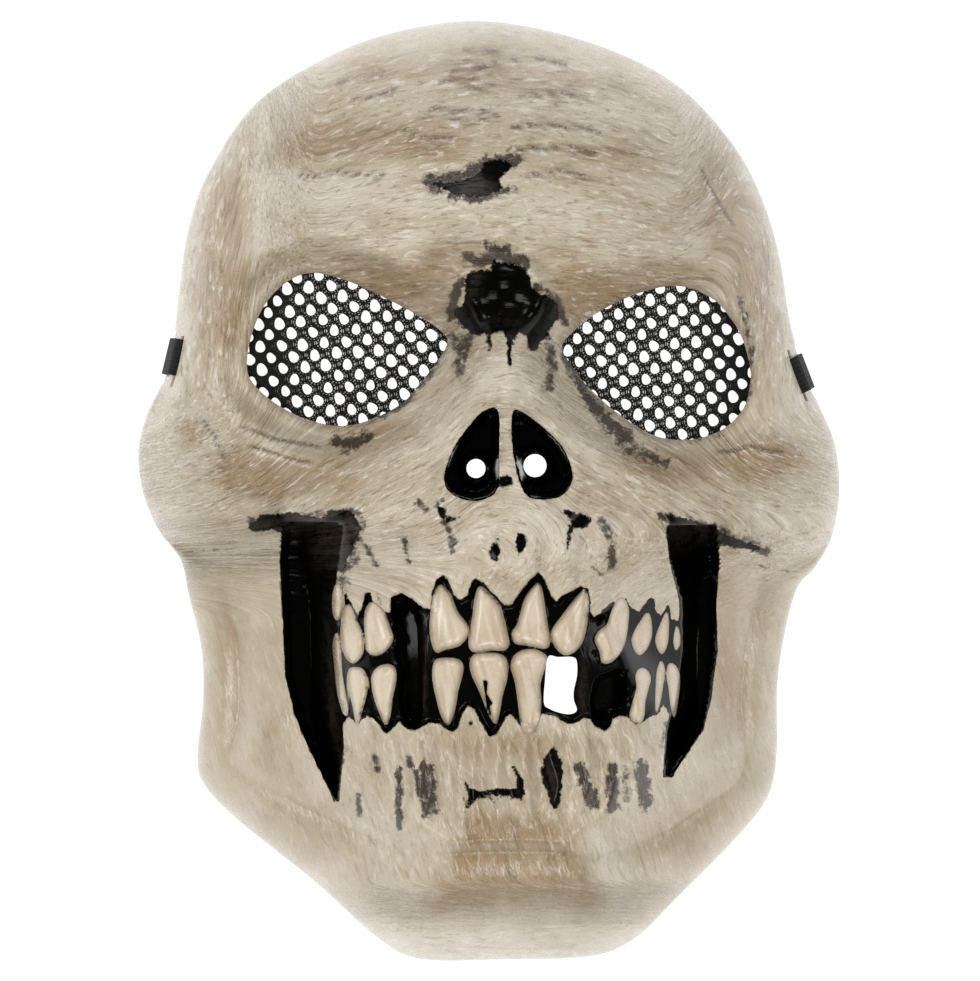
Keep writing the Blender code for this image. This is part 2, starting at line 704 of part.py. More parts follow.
def tube(name, outline, lows, highs):
    """A closed body along the sight lines over an outline, with a height for each corner."""
    mesh = bmesh.new()
    low = [mesh.verts.new(place(u, v, z)) for (u, v), z in zip(outline, lows)]
    high = [mesh.verts.new(place(u, v, z)) for (u, v), z in zip(outline, highs)]
    size = len(outline)
    for k in range(size):
        after = (k + 1) % size
        mesh.faces.new([low[k], low[after], high[after], high[k]])
    middle = np.mean(outline, 0)
    for ring, heights in ((low, lows), (high, highs)):
        hub = mesh.verts.new(place(*middle, float(np.mean(heights))))
        for k in range(size):
            mesh.faces.new([ring[k], ring[(k + 1) % size], hub])
    bmesh.ops.recalc_face_normals(mesh, faces=mesh.faces)
    return object_from(name, mesh)


def widened(outline, margin):
    """A closed outline moved outwards by a margin."""
    ends = np.array(outline)
    along = np.roll(ends, -1, 0) - np.roll(ends, 1, 0)
    outward = np.stack([-along[:, 1], along[:, 0]], 1) / np.hypot(*along.T)[:, None]
    if inside_distance(outline, *(ends + outward * 0.5).T).mean() > 0:
        outward = -outward
    return [tuple(point) for point in ends + outward * margin]


def sink_pocket(shell, tree, name, outline, floor):
    """Joins a cup under the face and cuts its hollow, so the face has a blind pocket there."""
    cup = widened(outline, WALL)
    seats = [surface_height(tree, u, v) - SEAT for u, v in cup]
    lows = [min(floor - WALL, seat - LEAST_CUP) for seat in seats]
    combine(shell, tube(name + "_cup", cup, lows, seats), "UNION")
    cutter = tube(name, outline, [floor] * len(outline), [POCKET_TOP] * len(outline))
    combine(shell, cutter, "DIFFERENCE")


def ribbon(name, rows, margin, bottom, top):
    """A closed body over a recess's rows, with a bottom and a top height for each point."""
    side = math.copysign(1.0, rows[0][3] - rows[0][1])
    last = len(rows) - 1
    mesh = bmesh.new()
    low, high = [], []
    for j, (v, jaw, fold, arch) in enumerate(rows):
        v += margin if j == 0 else -margin if j == last else 0.0
        across = (jaw - side * margin, fold, arch + side * margin)
        low.append([mesh.verts.new(place(u, v, bottom(k, u, v))) for k, u in enumerate(across)])
        high.append([mesh.verts.new(place(u, v, top(k, u, v))) for k, u in enumerate(across)])
    for j in range(last):
        for k in (0, 1):
            for layer in (low, high):
                mesh.faces.new([layer[j][k], layer[j][k + 1], layer[j + 1][k + 1], layer[j + 1][k]])
        for k in (0, 2):
            mesh.faces.new([low[j][k], low[j + 1][k], high[j + 1][k], high[j][k]])
    for j in (0, last):
        for k in (0, 1):
            mesh.faces.new([low[j][k], low[j][k + 1], high[j][k + 1], high[j][k]])
    bmesh.ops.recalc_face_normals(mesh, faces=mesh.faces)
    return object_from(name, mesh)


def sink_recess(shell, tree, name, rows):
    """The deep side recess: its floor is level from the jaw edge to the fold, then rises."""
    floors = (RECESS_FLOOR, RECESS_FLOOR, RECESS_ARCH_FLOOR)

    def cup_low(k, u, v):
        return min(floors[k] - WALL, surface_height(tree, u, v) - SEAT - LEAST_CUP)

    def cup_high(k, u, v):
        return surface_height(tree, u, v) - SEAT

    cup = ribbon(name + "_cup", rows, WALL, cup_low, cup_high)
    combine(shell, cup, "UNION")
    cutter = ribbon(name, rows, 0.0, lambda k, u, v: floors[k], lambda k, u, v: RECESS_TOP)
    combine(shell, cutter, "DIFFERENCE")


def rim_x(side, v):
    """Where the rim's outline crosses a level, on one side."""
    curve = closed_curve(RIM, 8)[:, :2]
    half = curve[curve[:, 0] * side > 0]
    half = half[np.argsort(half[:, 1])]
    return float(np.interp(v, half[:, 1], half[:, 0]))


def mask_shell(field):
    """The moulded shell: hollow, with its openings cut through and its teeth raised on it."""
    shell, tree = block(field)
    sink_recess(shell, tree, "recess_right", RECESS_RIGHT)
    sink_recess(shell, tree, "recess_left", RECESS_LEFT)
    for outline in (NOSE_RIGHT, NOSE_LEFT):
        sink_pocket(shell, tree, "nose", outline, NOSE_FLOOR)
    for name, tip_u, tip_v, end_u, end_v, width in TEETH:
        combine(shell, tooth(name, tree, (tip_u, tip_v), (end_u, end_v), width), "UNION")
    for side, (outline, *_) in SOCKETS.items():
        cutter = sight_prism("eye_" + side, closed_curve(outline, 2), *EYE_SIGHT)
        combine(shell, cutter, "DIFFERENCE")
    for u, v, radius in BREATHING_HOLES:
        cutter = sight_prism("breath", circle(u, v, radius, BREATHING_HOLE_SIDES), *BREATHING_SIGHT)
        combine(shell, cutter, "DIFFERENCE")
    combine(shell, sight_prism("mouth", MOUTH_HOLE, *MOUTH_SIGHT), "DIFFERENCE")
    for side, v in STRAPS.values():
        edge = rim_x(side, v)
        inner, outer = sorted((edge - side * NOTCH_INWARD, edge + side * NOTCH_OUTWARD))
        low, high = v - NOTCH_LENGTH / 2, v + NOTCH_LENGTH / 2
        notch = box("notch", (inner, low, -2.0), (outer, high, NOTCH_HEIGHT))
        combine(shell, notch, "DIFFERENCE")
        low, high = (v + SLOT_SHIFT + half for half in (-SLOT_LENGTH / 2, SLOT_LENGTH / 2))
        slot = box("slot", (inner, low, SLOT_LOW), (outer, high, SLOT_HIGH))
        combine(shell, slot, "DIFFERENCE")
    return shell


def net_cells(outline):
    """Middles of the net's holes that lie clear inside an outline."""
    reach = np.array(outline)
    low, high = reach.min(0), reach.max(0)
    rise = NET_PITCH * math.sqrt(3) / 2
    cells = []
    for row in range(int((high[1] - low[1]) / rise) + 2):
        for place_in_row in range(int((high[0] - low[0]) / NET_PITCH) + 2):
            u = low[0] + NET_PITCH * (place_in_row + 0.5 * (row % 2))
            v = low[1] + rise * row
            cells.append((u, v))
    u, v = np.array(cells).T
    inside = inside_distance(outline, u, v)
    return [cell for cell, deep in zip(cells, inside) if deep > NET_HOLE_RADIUS - NET_HOLE_INSET]


def socket_plane(side, drop):
    """The socket's plane in metres, lowered: a point on it and its normal."""
    _, middle_u, middle_v, *_ = SOCKETS[side]
    corners = [(middle_u + du, middle_v + dv) for du, dv in ((0, 0), (20, 0), (0, 20))]
    a, b, c = (Vector(place(u, v, socket_height(side, u, v) - drop)) for u, v in corners)
    return a, (b - a).cross(c - a).normalized()


def on_plane(u, v, plane):
    """Where the sight line of a front-view point meets a plane."""
    start, end = Vector(place(u, v, 0.0)), Vector(place(u, v, 100.0))
    point, normal = plane
    share = (point - start).dot(normal) / (end - start).dot(normal)
    return start.lerp(end, share)


def slab(name, outlines, upper, lower):
    """Closed bodies between two planes, one over each outline, in a single mesh."""
    mesh = bmesh.new()
    for outline in outlines:
        top = [mesh.verts.new(on_plane(u, v, upper)) for u, v in outline]
        low = [mesh.verts.new(on_plane(u, v, lower)) for u, v in outline]
        size = len(outline)
        for k in range(size):
            after = (k + 1) % size
            mesh.faces.new([low[k], low[after], top[after], top[k]])
        mesh.faces.new(low[::-1])
        mesh.faces.new(top)
    bmesh.ops.recalc_face_normals(mesh, faces=mesh.faces)
    return object_from(name, mesh)


def net_panel(side):
    """A flat net panel behind an eye opening: pierced, with a solid margin."""
    outline = closed_curve(SOCKETS[side][0], 1)
    upper, lower = socket_plane(side, NET_DROP), socket_plane(side, NET_DROP + NET_THICK)
    panel = slab("eye_net_" + side, [widened(outline, NET_MARGIN)], upper, lower)
    over, under = socket_plane(side, NET_DROP - 2.0), socket_plane(side, NET_DROP + 4.0)
    middles = net_cells(outline)[:NET_MOST_HOLES]
    holes = [circle(u, v, NET_HOLE_RADIUS, NET_HOLE_SIDES) for u, v in middles]
    combine(panel, slab("holes", holes, over, under), "DIFFERENCE")
    return panel


def rim_slant(side, v):
    """How far the rim turns from the Y axis at a level, on one side."""
    rise = rim_x(side, v + SLANT_SPAN / 2) - rim_x(side, v - SLANT_SPAN / 2)
    return math.atan2(rise, SLANT_SPAN)


def wall_depths(tree, side, v, z):
    """How far in from the rim's outline the wall's outer and inner faces lie at a height."""
    slant = rim_slant(side, v)
    inward = Vector((-side * math.cos(slant), side * math.sin(slant), 0.0))
    rim = Vector((rim_x(side, v), v, z)) * METRE
    outer = tree.ray_cast(rim - inward * PROBE_START, inward)[0]
    inner = tree.ray_cast(outer + inward * PROBE_STEP, inward)[0]
    return (outer - rim).dot(inward) / METRE, (inner - rim).dot(inward) / METRE


def strap_end(tree, side, v):
    """The strap's end: under its own run, down inside, round the rim, up outside and in."""
    clear = 2 * GAP + STRAP_THICK / 2
    slant = rim_slant(side, v)
    foot, midway, slot = STRAP_FOOT, STRAP_MIDWAY, (SLOT_LOW + SLOT_HIGH) / 2
    head_in, head_out = STRAP_HEAD_INSIDE, STRAP_HEAD_OUTSIDE
    outside = {z: wall_depths(tree, side, v, z)[0] - clear for z in (foot, midway, head_out)}
    inside = {z: wall_depths(tree, side, v, z)[1] + clear for z in (foot, midway, head_in)}
    sewn = slot - STRAP_THICK - GAP
    levels = [
        # depth, z
        (inside[head_in] + SEWN_LENGTH, sewn - 0.5),
        (inside[head_in] + 2.2, sewn - 0.7),
        (inside[head_in] + 0.5, head_in),
        (inside[midway], midway),
        (inside[foot], foot),
        (inside[foot] - STRAP_TURN, STRAP_UNDER),
        (outside[foot] + STRAP_TURN, STRAP_UNDER),
        (outside[foot], foot),
        (outside[midway], midway),
        (outside[head_out], head_out),
        (outside[head_out] + STRAP_TURN, slot),
        (inside[head_in] + 3.0, slot),
    ]
    edge, across, up = rim_x(side, v), -side * math.cos(slant), side * math.sin(slant)
    return [(edge + across * depth, v + up * depth, z, 0.0, slant) for depth, z in levels]


def squared(axis, along):
    """A direction made square to another, of unit length."""
    return (axis - along * axis.dot(along)).normalized()


def elastic_strap(shell):
    """A flat elastic strap, carried along its route with a rectangular section."""
    graph = bpy.context.evaluated_depsgraph_get()
    tree = BVHTree.FromObject(shell, graph)
    right, left = (strap_end(tree, sign, v) for sign, v in STRAPS.values())
    rows = np.array(right + [(*row, 0.0) for row in STRAP_ROUTE] + left[::-1])
    padded = np.vstack([2 * rows[0] - rows[1], rows, 2 * rows[-1] - rows[-2]])
    path = []
    for i in range(1, len(padded) - 2):
        before, start, end, beyond = padded[i - 1 : i + 3]
        for step in np.arange(STRAP_STEPS) / STRAP_STEPS:
            b = (end - before) * step
            c = (2 * before - 5 * start + 4 * end - beyond) * step**2
            d = (3 * start - before - 3 * end + beyond) * step**3
            path.append(0.5 * (2 * start + b + c + d))
    path = np.array(path + [rows[-1]])
    mesh = bmesh.new()
    rings = []
    for k, (*middle, turn, slant) in enumerate(path):
        ahead, behind = path[min(k + 1, len(path) - 1), :3], path[max(k - 1, 0), :3]
        along = Vector(ahead - behind).normalized()
        turn = min(max(turn, 0.0), 1.0) * math.pi / 2
        flat = squared(Vector((math.sin(slant), math.cos(slant), 0.0)), along) * math.cos(turn)
        upright = squared(Vector((0.0, 0.0, 1.0)), along) * math.sin(turn)
        across = squared(flat + upright, along)
        through = along.cross(across)
        corners = ((-1, -1), (1, -1), (1, 1), (-1, 1))
        points = [
            Vector(middle) + across * (s * STRAP_WIDTH / 2) + through * (t * STRAP_THICK / 2)
            for s, t in corners
        ]
        rings.append([mesh.verts.new(point * METRE) for point in points])
    for low, high in zip(rings, rings[1:]):
        for k in range(4):
            after = (k + 1) % 4
            mesh.faces.new([low[k], low[after], high[after], high[k]])
    mesh.faces.new(rings[0])
    mesh.faces.new(rings[-1][::-1])
    bmesh.ops.recalc_face_normals(mesh, faces=mesh.faces)
    return object_from("elastic_strap", mesh)


def material(name, colour, roughness):
    made = bpy.data.materials.new(name)
    made.use_nodes = True
    shader = made.node_tree.nodes["Principled BSDF"]
    shader.inputs["Base Color"].default_value = (*colour, 1.0)
    shader.inputs["Roughness"].default_value = roughness
    shader.inputs["Metallic"].default_value = 0.0
    return made


def finish(thing, made, angle):
    thing.data.materials.clear()
    thing.data.materials.append(made)
    for polygon in thing.data.polygons:
        polygon.material_index = 0
    thing.data.shade_smooth()
    thing.data.set_sharp_from_angle(angle=math.radians(angle))


def main():
    for thing in list(bpy.data.objects):
        bpy.data.objects.remove(thing)
    u, v = np.meshgrid(RASTER_U, RASTER_V)
    shell = mask_shell(blurred(face_heights(u, v), SOFTNESS))
    merge_flats(shell)
    finish(shell, material("bone_plastic", BONE, BONE_ROUGHNESS), SHARP_ANGLE)
    strap_look = material("strap_elastic", STRAP_BLACK, STRAP_ROUGHNESS)
    finish(elastic_strap(shell), strap_look, SHARP_ANGLE)
    for side in SOCKETS:
        net_look = material("net_" + side, NET_BLACK, NET_ROUGHNESS)
        finish(net_panel(side), net_look, NET_SHARP_ANGLE)


main()
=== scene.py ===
import math

import bmesh
import bpy
import numpy as np
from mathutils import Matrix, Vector
from mathutils.bvhtree import BVHTree


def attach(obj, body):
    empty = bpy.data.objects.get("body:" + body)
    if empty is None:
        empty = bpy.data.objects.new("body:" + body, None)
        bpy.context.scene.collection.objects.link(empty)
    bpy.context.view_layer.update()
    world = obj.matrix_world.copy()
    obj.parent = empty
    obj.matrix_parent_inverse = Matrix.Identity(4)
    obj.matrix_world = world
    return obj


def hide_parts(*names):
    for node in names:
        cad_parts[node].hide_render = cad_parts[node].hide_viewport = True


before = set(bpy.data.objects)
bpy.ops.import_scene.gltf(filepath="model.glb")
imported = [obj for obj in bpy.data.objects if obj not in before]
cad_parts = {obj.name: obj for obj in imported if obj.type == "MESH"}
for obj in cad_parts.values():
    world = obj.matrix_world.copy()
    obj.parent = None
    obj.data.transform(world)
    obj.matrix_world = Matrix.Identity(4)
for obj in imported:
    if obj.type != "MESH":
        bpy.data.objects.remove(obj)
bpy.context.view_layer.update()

# Units: lengths are in millimetres until place() turns them into metres.
# The face is drawn in its front view: u to the picture's right and v up, on the rim's plane.
METRE = 0.001
WALL = 1.8
SIGHT_HEIGHT = 1600.0
SIGHT_SLANT = math.tan(math.radians(3.0))

# The picture: its middle and the size of a pixel on the rim's plane
PICTURE_MIDDLE = (490.0, 490.5)
PICTURE_MM = 0.2775
PICTURE_WIDTH = 980
CAMERA_SENSOR = 36.0

# The rim's outline, clockwise from the crown, with the run and height of the wall there
RIM = [
    # u, v, wall_run, wall_height
    (0.5, 130.0, 62, 80),
    (27.0, 124.6, 62, 80),
    (50.5, 113.7, 58, 78),
    (67.0, 97.0, 50, 74),
    (76.0, 80.5, 42, 68),
    (80.8, 64.0, 38, 62),
    (83.3, 48.0, 32, 60),
    (86.8, 35.0, 28, 57),
    (91.5, 24.0, 27, 53),
    (96.0, 13.0, 26, 48),
    (97.3, 0.0, 24, 46),
    (95.3, -12.5, 20, 40),
    (90.8, -21.0, 12, 26),
    (85.4, -27.5, 10, 18),
    (81.6, -42.0, 10, 16),
    (79.9, -56.0, 10, 16),
    (79.9, -72.0, 10, 16),
    (77.6, -84.5, 9, 20),
    (69.0, -96.0, 12, 31),
    (51.7, -113.4, 17, 43),
    (40.3, -124.3, 23, 56),
    (28.0, -129.2, 29, 67),
    (4.0, -130.0, 30, 69),
    (-19.0, -129.8, 29, 67),
    (-31.0, -124.0, 23, 56),
    (-49.0, -107.9, 17, 42),
    (-70.0, -91.0, 12, 28),
    (-79.3, -81.0, 9, 18),
    (-81.0, -73.0, 10, 16),
    (-79.5, -58.0, 10, 16),
    (-79.9, -44.0, 10, 16),
    (-83.4, -29.0, 10, 18),
    (-85.6, -19.3, 12, 26),
    (-92.0, -10.5, 18, 40),
    (-96.2, 0.0, 22, 45),
    (-97.3, 11.0, 24, 47),
    (-95.0, 21.0, 26, 49),
    (-90.3, 31.0, 27, 54),
    (-87.6, 42.0, 29, 58),
    (-86.0, 56.0, 34, 60),
    (-83.6, 72.0, 38, 66),
    (-78.0, 88.0, 46, 72),
    (-64.5, 107.5, 54, 76),
    (-42.0, 121.5, 62, 80),
    (-21.0, 128.2, 62, 80),
]

# Level sections of the muzzle: its crest, and the shoulder on each side of it
MUZZLE = [
    # v, crest, centre, half_width, shoulder, power
    (70, 80, 4.0, 66, 46, 2.0),
    (44, 77, 4.0, 62, 44, 2.0),
    (20, 79, 4.3, 60, 46, 2.0),
    (0, 79, 4.5, 58, 47, 2.0),
    (-18, 81, 5.0, 51, 45, 2.1),
    (-30, 82, 5.5, 50, 42, 2.3),
    (-46, 82, 5.5, 50, 41, 2.4),
    (-64, 79, 5.5, 50, 41, 2.4),
    (-78, 75, 5.0, 52, 39, 2.2),
    (-89, 72, 4.5, 56, 34, 2.0),
    (-106, 73, 4.0, 60, 31, 1.9),
    (-118, 66, 4.0, 54, 30, 1.9),
    (-134, 54, 4.0, 44, 28, 2.0),
]
MUZZLE_FALL = 1.1
MUZZLE_BLUR = 3.0
MUZZLE_BLEND = 7.0

# The cranium: half of an ellipsoid that is longer up to the crown than down to the jaw
CRANIUM_CENTRE = (3.0, 36.0)
CRANIUM_HALF_WIDTH = 97.0
CRANIUM_UP = 100.0
CRANIUM_DOWN = 66.0
CRANIUM_HEIGHT = 89.0

# Rounded masses that stand as high as they say
MASSES = [
    # name, u, v, radius_u, radius_v, height
    ("cheekbone_right", -68.0, 6.0, 33.0, 25.0, 53.0),
    ("cheekbone_left", 70.0, 1.5, 31.0, 25.5, 52.0),
]
MASS_BLEND = 5.0

# Soft swellings and dips, added to the height
SWELLS = [
    # name, u, v, radius_u, radius_v, lift
    ("glabella", 4.0, 70.0, 15.0, 8.0, 3.5),
    ("brow_pit", 4.5, 52.5, 12.0, 9.5, -9.0),
    ("forehead_crack", -6.0, 84.5, 12.0, 4.5, -2.6),
    ("temple_hollow_right", -71.0, 62.0, 9.0, 24.0, -5.0),
    ("temple_hollow_left", 71.0, 60.0, 8.0, 24.0, -5.0),
    ("nose_bridge", 4.5, 30.0, 8.5, 13.0, 8.0),
    ("nose_spine", 4.8, -5.0, 6.0, 5.0, 2.5),
    ("cheek_hollow_right", -27.0, -8.0, 12.0, 10.0, -3.5),
    ("cheek_hollow_left", 38.0, -9.0, 12.0, 10.0, -3.5),
    ("chin_boss", 4.5, -107.0, 27.0, 11.0, 4.0),
    ("chin_fold", 4.5, -87.0, 24.0, 6.0, -2.5),
    ("chin_corner_right", -22.0, -113.0, 10.0, 9.0, 2.5),
    ("chin_corner_left", 31.0, -113.0, 10.0, 9.0, 2.5),
]

# Ridges drawn along a line, added to the height
RIDGES = [
    # name, half_width, lift, points
    ("brow_right", 6.5, 5.0, [(-9, 61), (-28, 68), (-48, 71), (-63, 62), (-70, 46)]),
    ("brow_left", 6.5, 5.0, [(18, 60), (36, 65), (54, 68), (68, 58), (75, 42)]),
    ("temple_line_right", 4.0, 2.0, [(-66, 62), (-62, 80), (-57, 95)]),
    ("temple_line_left", 4.0, 2.0, [(71, 58), (66, 76), (60, 92)]),
    ("jaw_border_right", 5.0, 2.0, [(-70, -80), (-48, -98), (-24, -117)]),
    ("jaw_border_left", 5.0, 2.0, [(72, -82), (55, -98), (33, -117)]),
    ("nose_edge_right", 1.6, 0.9, [(-3, 24), (-9, 17), (-14, 6), (-13, -3), (-5, -5.5)]),
    ("nose_edge_left", 1.6, 0.9, [(10, 24), (18, 18), (24, 9), (24.5, 0), (18, -5), (8, -4)]),
]

# Eye openings, and the height and slopes of the socket that each lies in
EYE_RIGHT = [
    (-49.4, 60.2), (-40.6, 58.4), (-30.3, 53.9), (-20.2, 48.6), (-13.7, 44.2), (-11.9, 40.6),
    (-16.8, 32.9), (-24.0, 24.5), (-33.7, 19.4), (-42.0, 17.9), (-51.5, 20.0), (-60.0, 24.5),
    (-66.1, 30.3), (-67.3, 35.6), (-66.0, 43.1), (-62.2, 51.7), (-56.1, 57.8),
]
EYE_LEFT = [
    (20.1, 39.1), (21.5, 42.5), (29.7, 49.2), (41.1, 54.7), (52.2, 56.8), (61.5, 53.5),
    (66.6, 48.3), (70.2, 42.2), (72.3, 34.5), (72.3, 29.2), (70.2, 22.3), (64.0, 16.6),
    (55.3, 14.1), (46.2, 15.1), (36.9, 20.4), (28.0, 28.0), (22.6, 34.8),
]
SOCKETS = {
    # side: outline, middle_u, middle_v, height, slope_u, slope_v
    "right": (EYE_RIGHT, -40.0, 39.0, 55.8, 0.36, 0.10),
    "left": (EYE_LEFT, 47.0, 36.0, 55.6, -0.38, 0.10),
}
SOCKET_LIP = 2.0
SOCKET_BEVEL = 12.0
SOCKET_REACH = 20.0
EYE_SIGHT = (20.0, 110.0)

# Nose cavities, their floor, and the breathing hole in each with its raised ring
NOSE_RIGHT = [
    (2.3, 22.2), (-1.9, 21.9), (-5.4, 18.4), (-9.4, 13.0), (-11.8, 7.6), (-12.8, 3.2),
    (-11.3, -0.4), (-7.4, -2.4), (-3.5, -2.9), (0.5, -1.4), (2.3, 1.6), (2.5, 10.0),
]
NOSE_LEFT = [
    (6.2, 21.7), (9.4, 21.5), (12.9, 19.0), (16.4, 16.0), (19.8, 12.5), (22.0, 8.1),
    (23.0, 4.1), (21.7, 0.1), (18.3, -2.1), (13.4, -2.4), (9.4, -0.4), (6.5, 10.0),
]
NOSE_FLOOR = 67.0
NOSE_SIDE = 2.2
BREATHING_HOLES = [
    # u, v, radius, ring_radius
    (-3.9, 6.1, 2.65, 3.9),
    (12.5, 6.9, 3.2, 4.4),
]
BREATHING_HOLE_SIDES = 40
BREATHING_SIGHT = (40.0, 100.0)
BREATHING_RING_HEIGHT = 0.9
BREATHING_RING_WIDTH = 0.7

# Side recesses between the jaw and the teeth, level by level: jaw edge, fold, tooth arch edge
RECESS_RIGHT = [
    # v, jaw_edge, fold, arch_edge
    (-11.5, -57.2, -50.8, -41.0),
    (-20.1, -57.9, -50.3, -42.5),
    (-30.3, -57.3, -48.1, -43.4),
    (-51.0, -56.5, -47.6, -42.0),
    (-62.5, -53.6, -47.1, -41.3),
    (-70.8, -50.1, -46.4, -40.8),
    (-84.9, -43.3, -43.2, -42.1),
]
RECESS_LEFT = [
    (-12.3, 62.7, 58.3, 49.4),
    (-20.1, 63.5, 57.5, 50.3),
    (-30.3, 62.6, 55.6, 53.0),
    (-44.2, 63.0, 55.6, 53.0),
    (-58.0, 61.2, 55.7, 51.1),
    (-66.6, 58.9, 54.8, 49.2),
    (-78.3, 51.0, 50.2, 48.5),
]
RECESS_FLOOR = 24.0
RECESS_RISE = 14.0
RECESS_SIDE = 1.8
RECESS_LIP = -0.3
RECESS_OVER = 2.5
RECESS_UNDER = 1.0
RECESS_LEAST = 0.5
RECESS_PAINT = 0.35
FOLD_BEAD = 1.5
FOLD_BEAD_WIDTH = 1.2

# The jaw's side plates rise from the rim to the edge of the recess
PLATE_MIDDLE = 0.3
PLATE_HALF_WIDTH = 80.5
PLATE_FOOT = 16.0
PLATE_SLOPE = 0.80
PLATE_MOST = 46.0
PLATE_TOP = (-18.0, -8.0)
PLATE_DROP = 60.0
PLATE_BLEND = 4.0

# How far the whole face is softened, before and after its eye sockets
FACE_BLUR = 1.2
SOCKET_BLUR = 1.0

# Wrinkles of the forehead, the brow and the cheeks, in the picture's pixels: each is a groove with
# painted shade along it and a painted highlight just below it
WRINKLES = [
    [(464, 51), (485, 49), (506, 51)],
    [(459, 62), (480, 66), (499, 60)],
    [(452, 72), (478, 70), (499, 73)],
    [(440, 82), (470, 79), (494, 84)],
    [(460, 88), (484, 86)],
    [(338, 84), (362, 78), (384, 70)],
    [(352, 100), (376, 96), (396, 90)],
    [(510, 62), (540, 58), (566, 66)],
    [(512, 128), (552, 124), (600, 132)],
    [(516, 150), (560, 146), (596, 152)],
    [(528, 176), (560, 170), (590, 178)],
    [(300, 178), (340, 172), (384, 176)],
    [(400, 132), (428, 140), (452, 138)],
    [(482, 321), (496, 314), (511, 320)],
    [(243, 428), (276, 440), (319, 446)],
    [(250, 448), (284, 458), (312, 462)],
    [(204, 420), (216, 436), (222, 458)],
    [(720, 452), (752, 446), (782, 452)],
    [(700, 166), (716, 196), (734, 226)],
    [(716, 156), (738, 190), (752, 222)],
    [(430, 108), (460, 112), (490, 110)],
    [(445, 119), (470, 121), (497, 117)],
    [(520, 96), (560, 92), (590, 98)],
    [(424, 176), (452, 178), (478, 170), (486, 156)],
    [(430, 190), (462, 199), (500, 194), (520, 186)],
]
WRINKLE_WIDTH = 0.8
WRINKLE_DEPTH = 0.8
# widths of the painted shade in a wrinkle and of the painted highlight beside it, and how far that
# highlight is moved
WRINKLE_SHADE_WIDTH = 0.55
WRINKLE_HIGHLIGHT_WIDTH = 0.5
WRINKLE_HIGHLIGHT_RISE = 1.1

# Outlines in the picture's pixels: the dark of the mouth, its gaps, its hole and its teeth
MOUTH_DARK = [
    (331, 624), (338, 618), (345, 606), (344, 588), (350, 600), (358, 616), (363, 606),
    (365, 593), (370, 592), (373, 602), (384, 611), (390, 613), (391, 597), (401, 593),
    (412, 599), (424, 608), (431, 609), (432, 592), (437, 579), (443, 575), (448, 579),
    (453, 594), (460, 600), (467, 596), (471, 582), (475, 578), (483, 583), (491, 591),
    (504, 605), (512, 604), (522, 589), (532, 578), (539, 572), (545, 580), (550, 593),
    (556, 602), (562, 596), (571, 592), (581, 586), (588, 589), (590, 597), (590, 611),
    (594, 617), (600, 613), (607, 606), (613, 602), (620, 603), (626, 598), (630, 606),
    (638, 612), (643, 608), (649, 599), (654, 597), (656, 612), (661, 616), (666, 608),
    (669, 604), (672, 619), (680, 622), (685, 640), (685, 700), (678, 716), (672, 719),
    (665, 703), (657, 715), (650, 717), (643, 722), (636, 725), (627, 716), (619, 716),
    (613, 719), (610, 728), (604, 731), (595, 726), (590, 719), (583, 718), (577, 722),
    (571, 724), (563, 721), (555, 716), (546, 714), (541, 714), (537, 726), (530, 729),
    (523, 729), (516, 719), (509, 713), (503, 722), (496, 734), (490, 736), (483, 726),
    (475, 710), (469, 705), (463, 712), (458, 727), (453, 731), (447, 729), (439, 723),
    (429, 723), (415, 730), (407, 728), (399, 721), (393, 728), (388, 733), (383, 730),
    (375, 719), (369, 715), (363, 718), (358, 724), (353, 719), (349, 716), (344, 722),
    (340, 727), (335, 715), (331, 690), (330, 650),
]
GAPS = [
    # outline, depth
    ([(392, 600), (401, 595), (412, 601), (422, 614), (426, 640), (425, 690), (423, 720),
      (412, 727), (403, 721), (398, 708), (398, 690), (398, 668), (393, 656), (395, 640),
      (391, 620)], 9.0),
    ([(594, 677), (607, 671), (626, 667), (629, 686), (629, 700), (626, 713), (613, 717),
      (610, 727), (604, 729), (596, 724), (589, 712), (588, 700), (591, 688)], 9.0),
    ([(595, 619), (607, 608), (611, 604), (606, 622), (598, 629), (593, 645), (599, 655),
      (596, 662), (589, 654), (590, 640)], 5.0),
]
MOUTH_HOLE = [
    (548, 657), (558, 657), (573, 657), (577, 662), (577, 676), (574, 690), (574, 700),
    (577, 710), (571, 714), (561, 713), (550, 709), (544, 703), (545, 681),
]
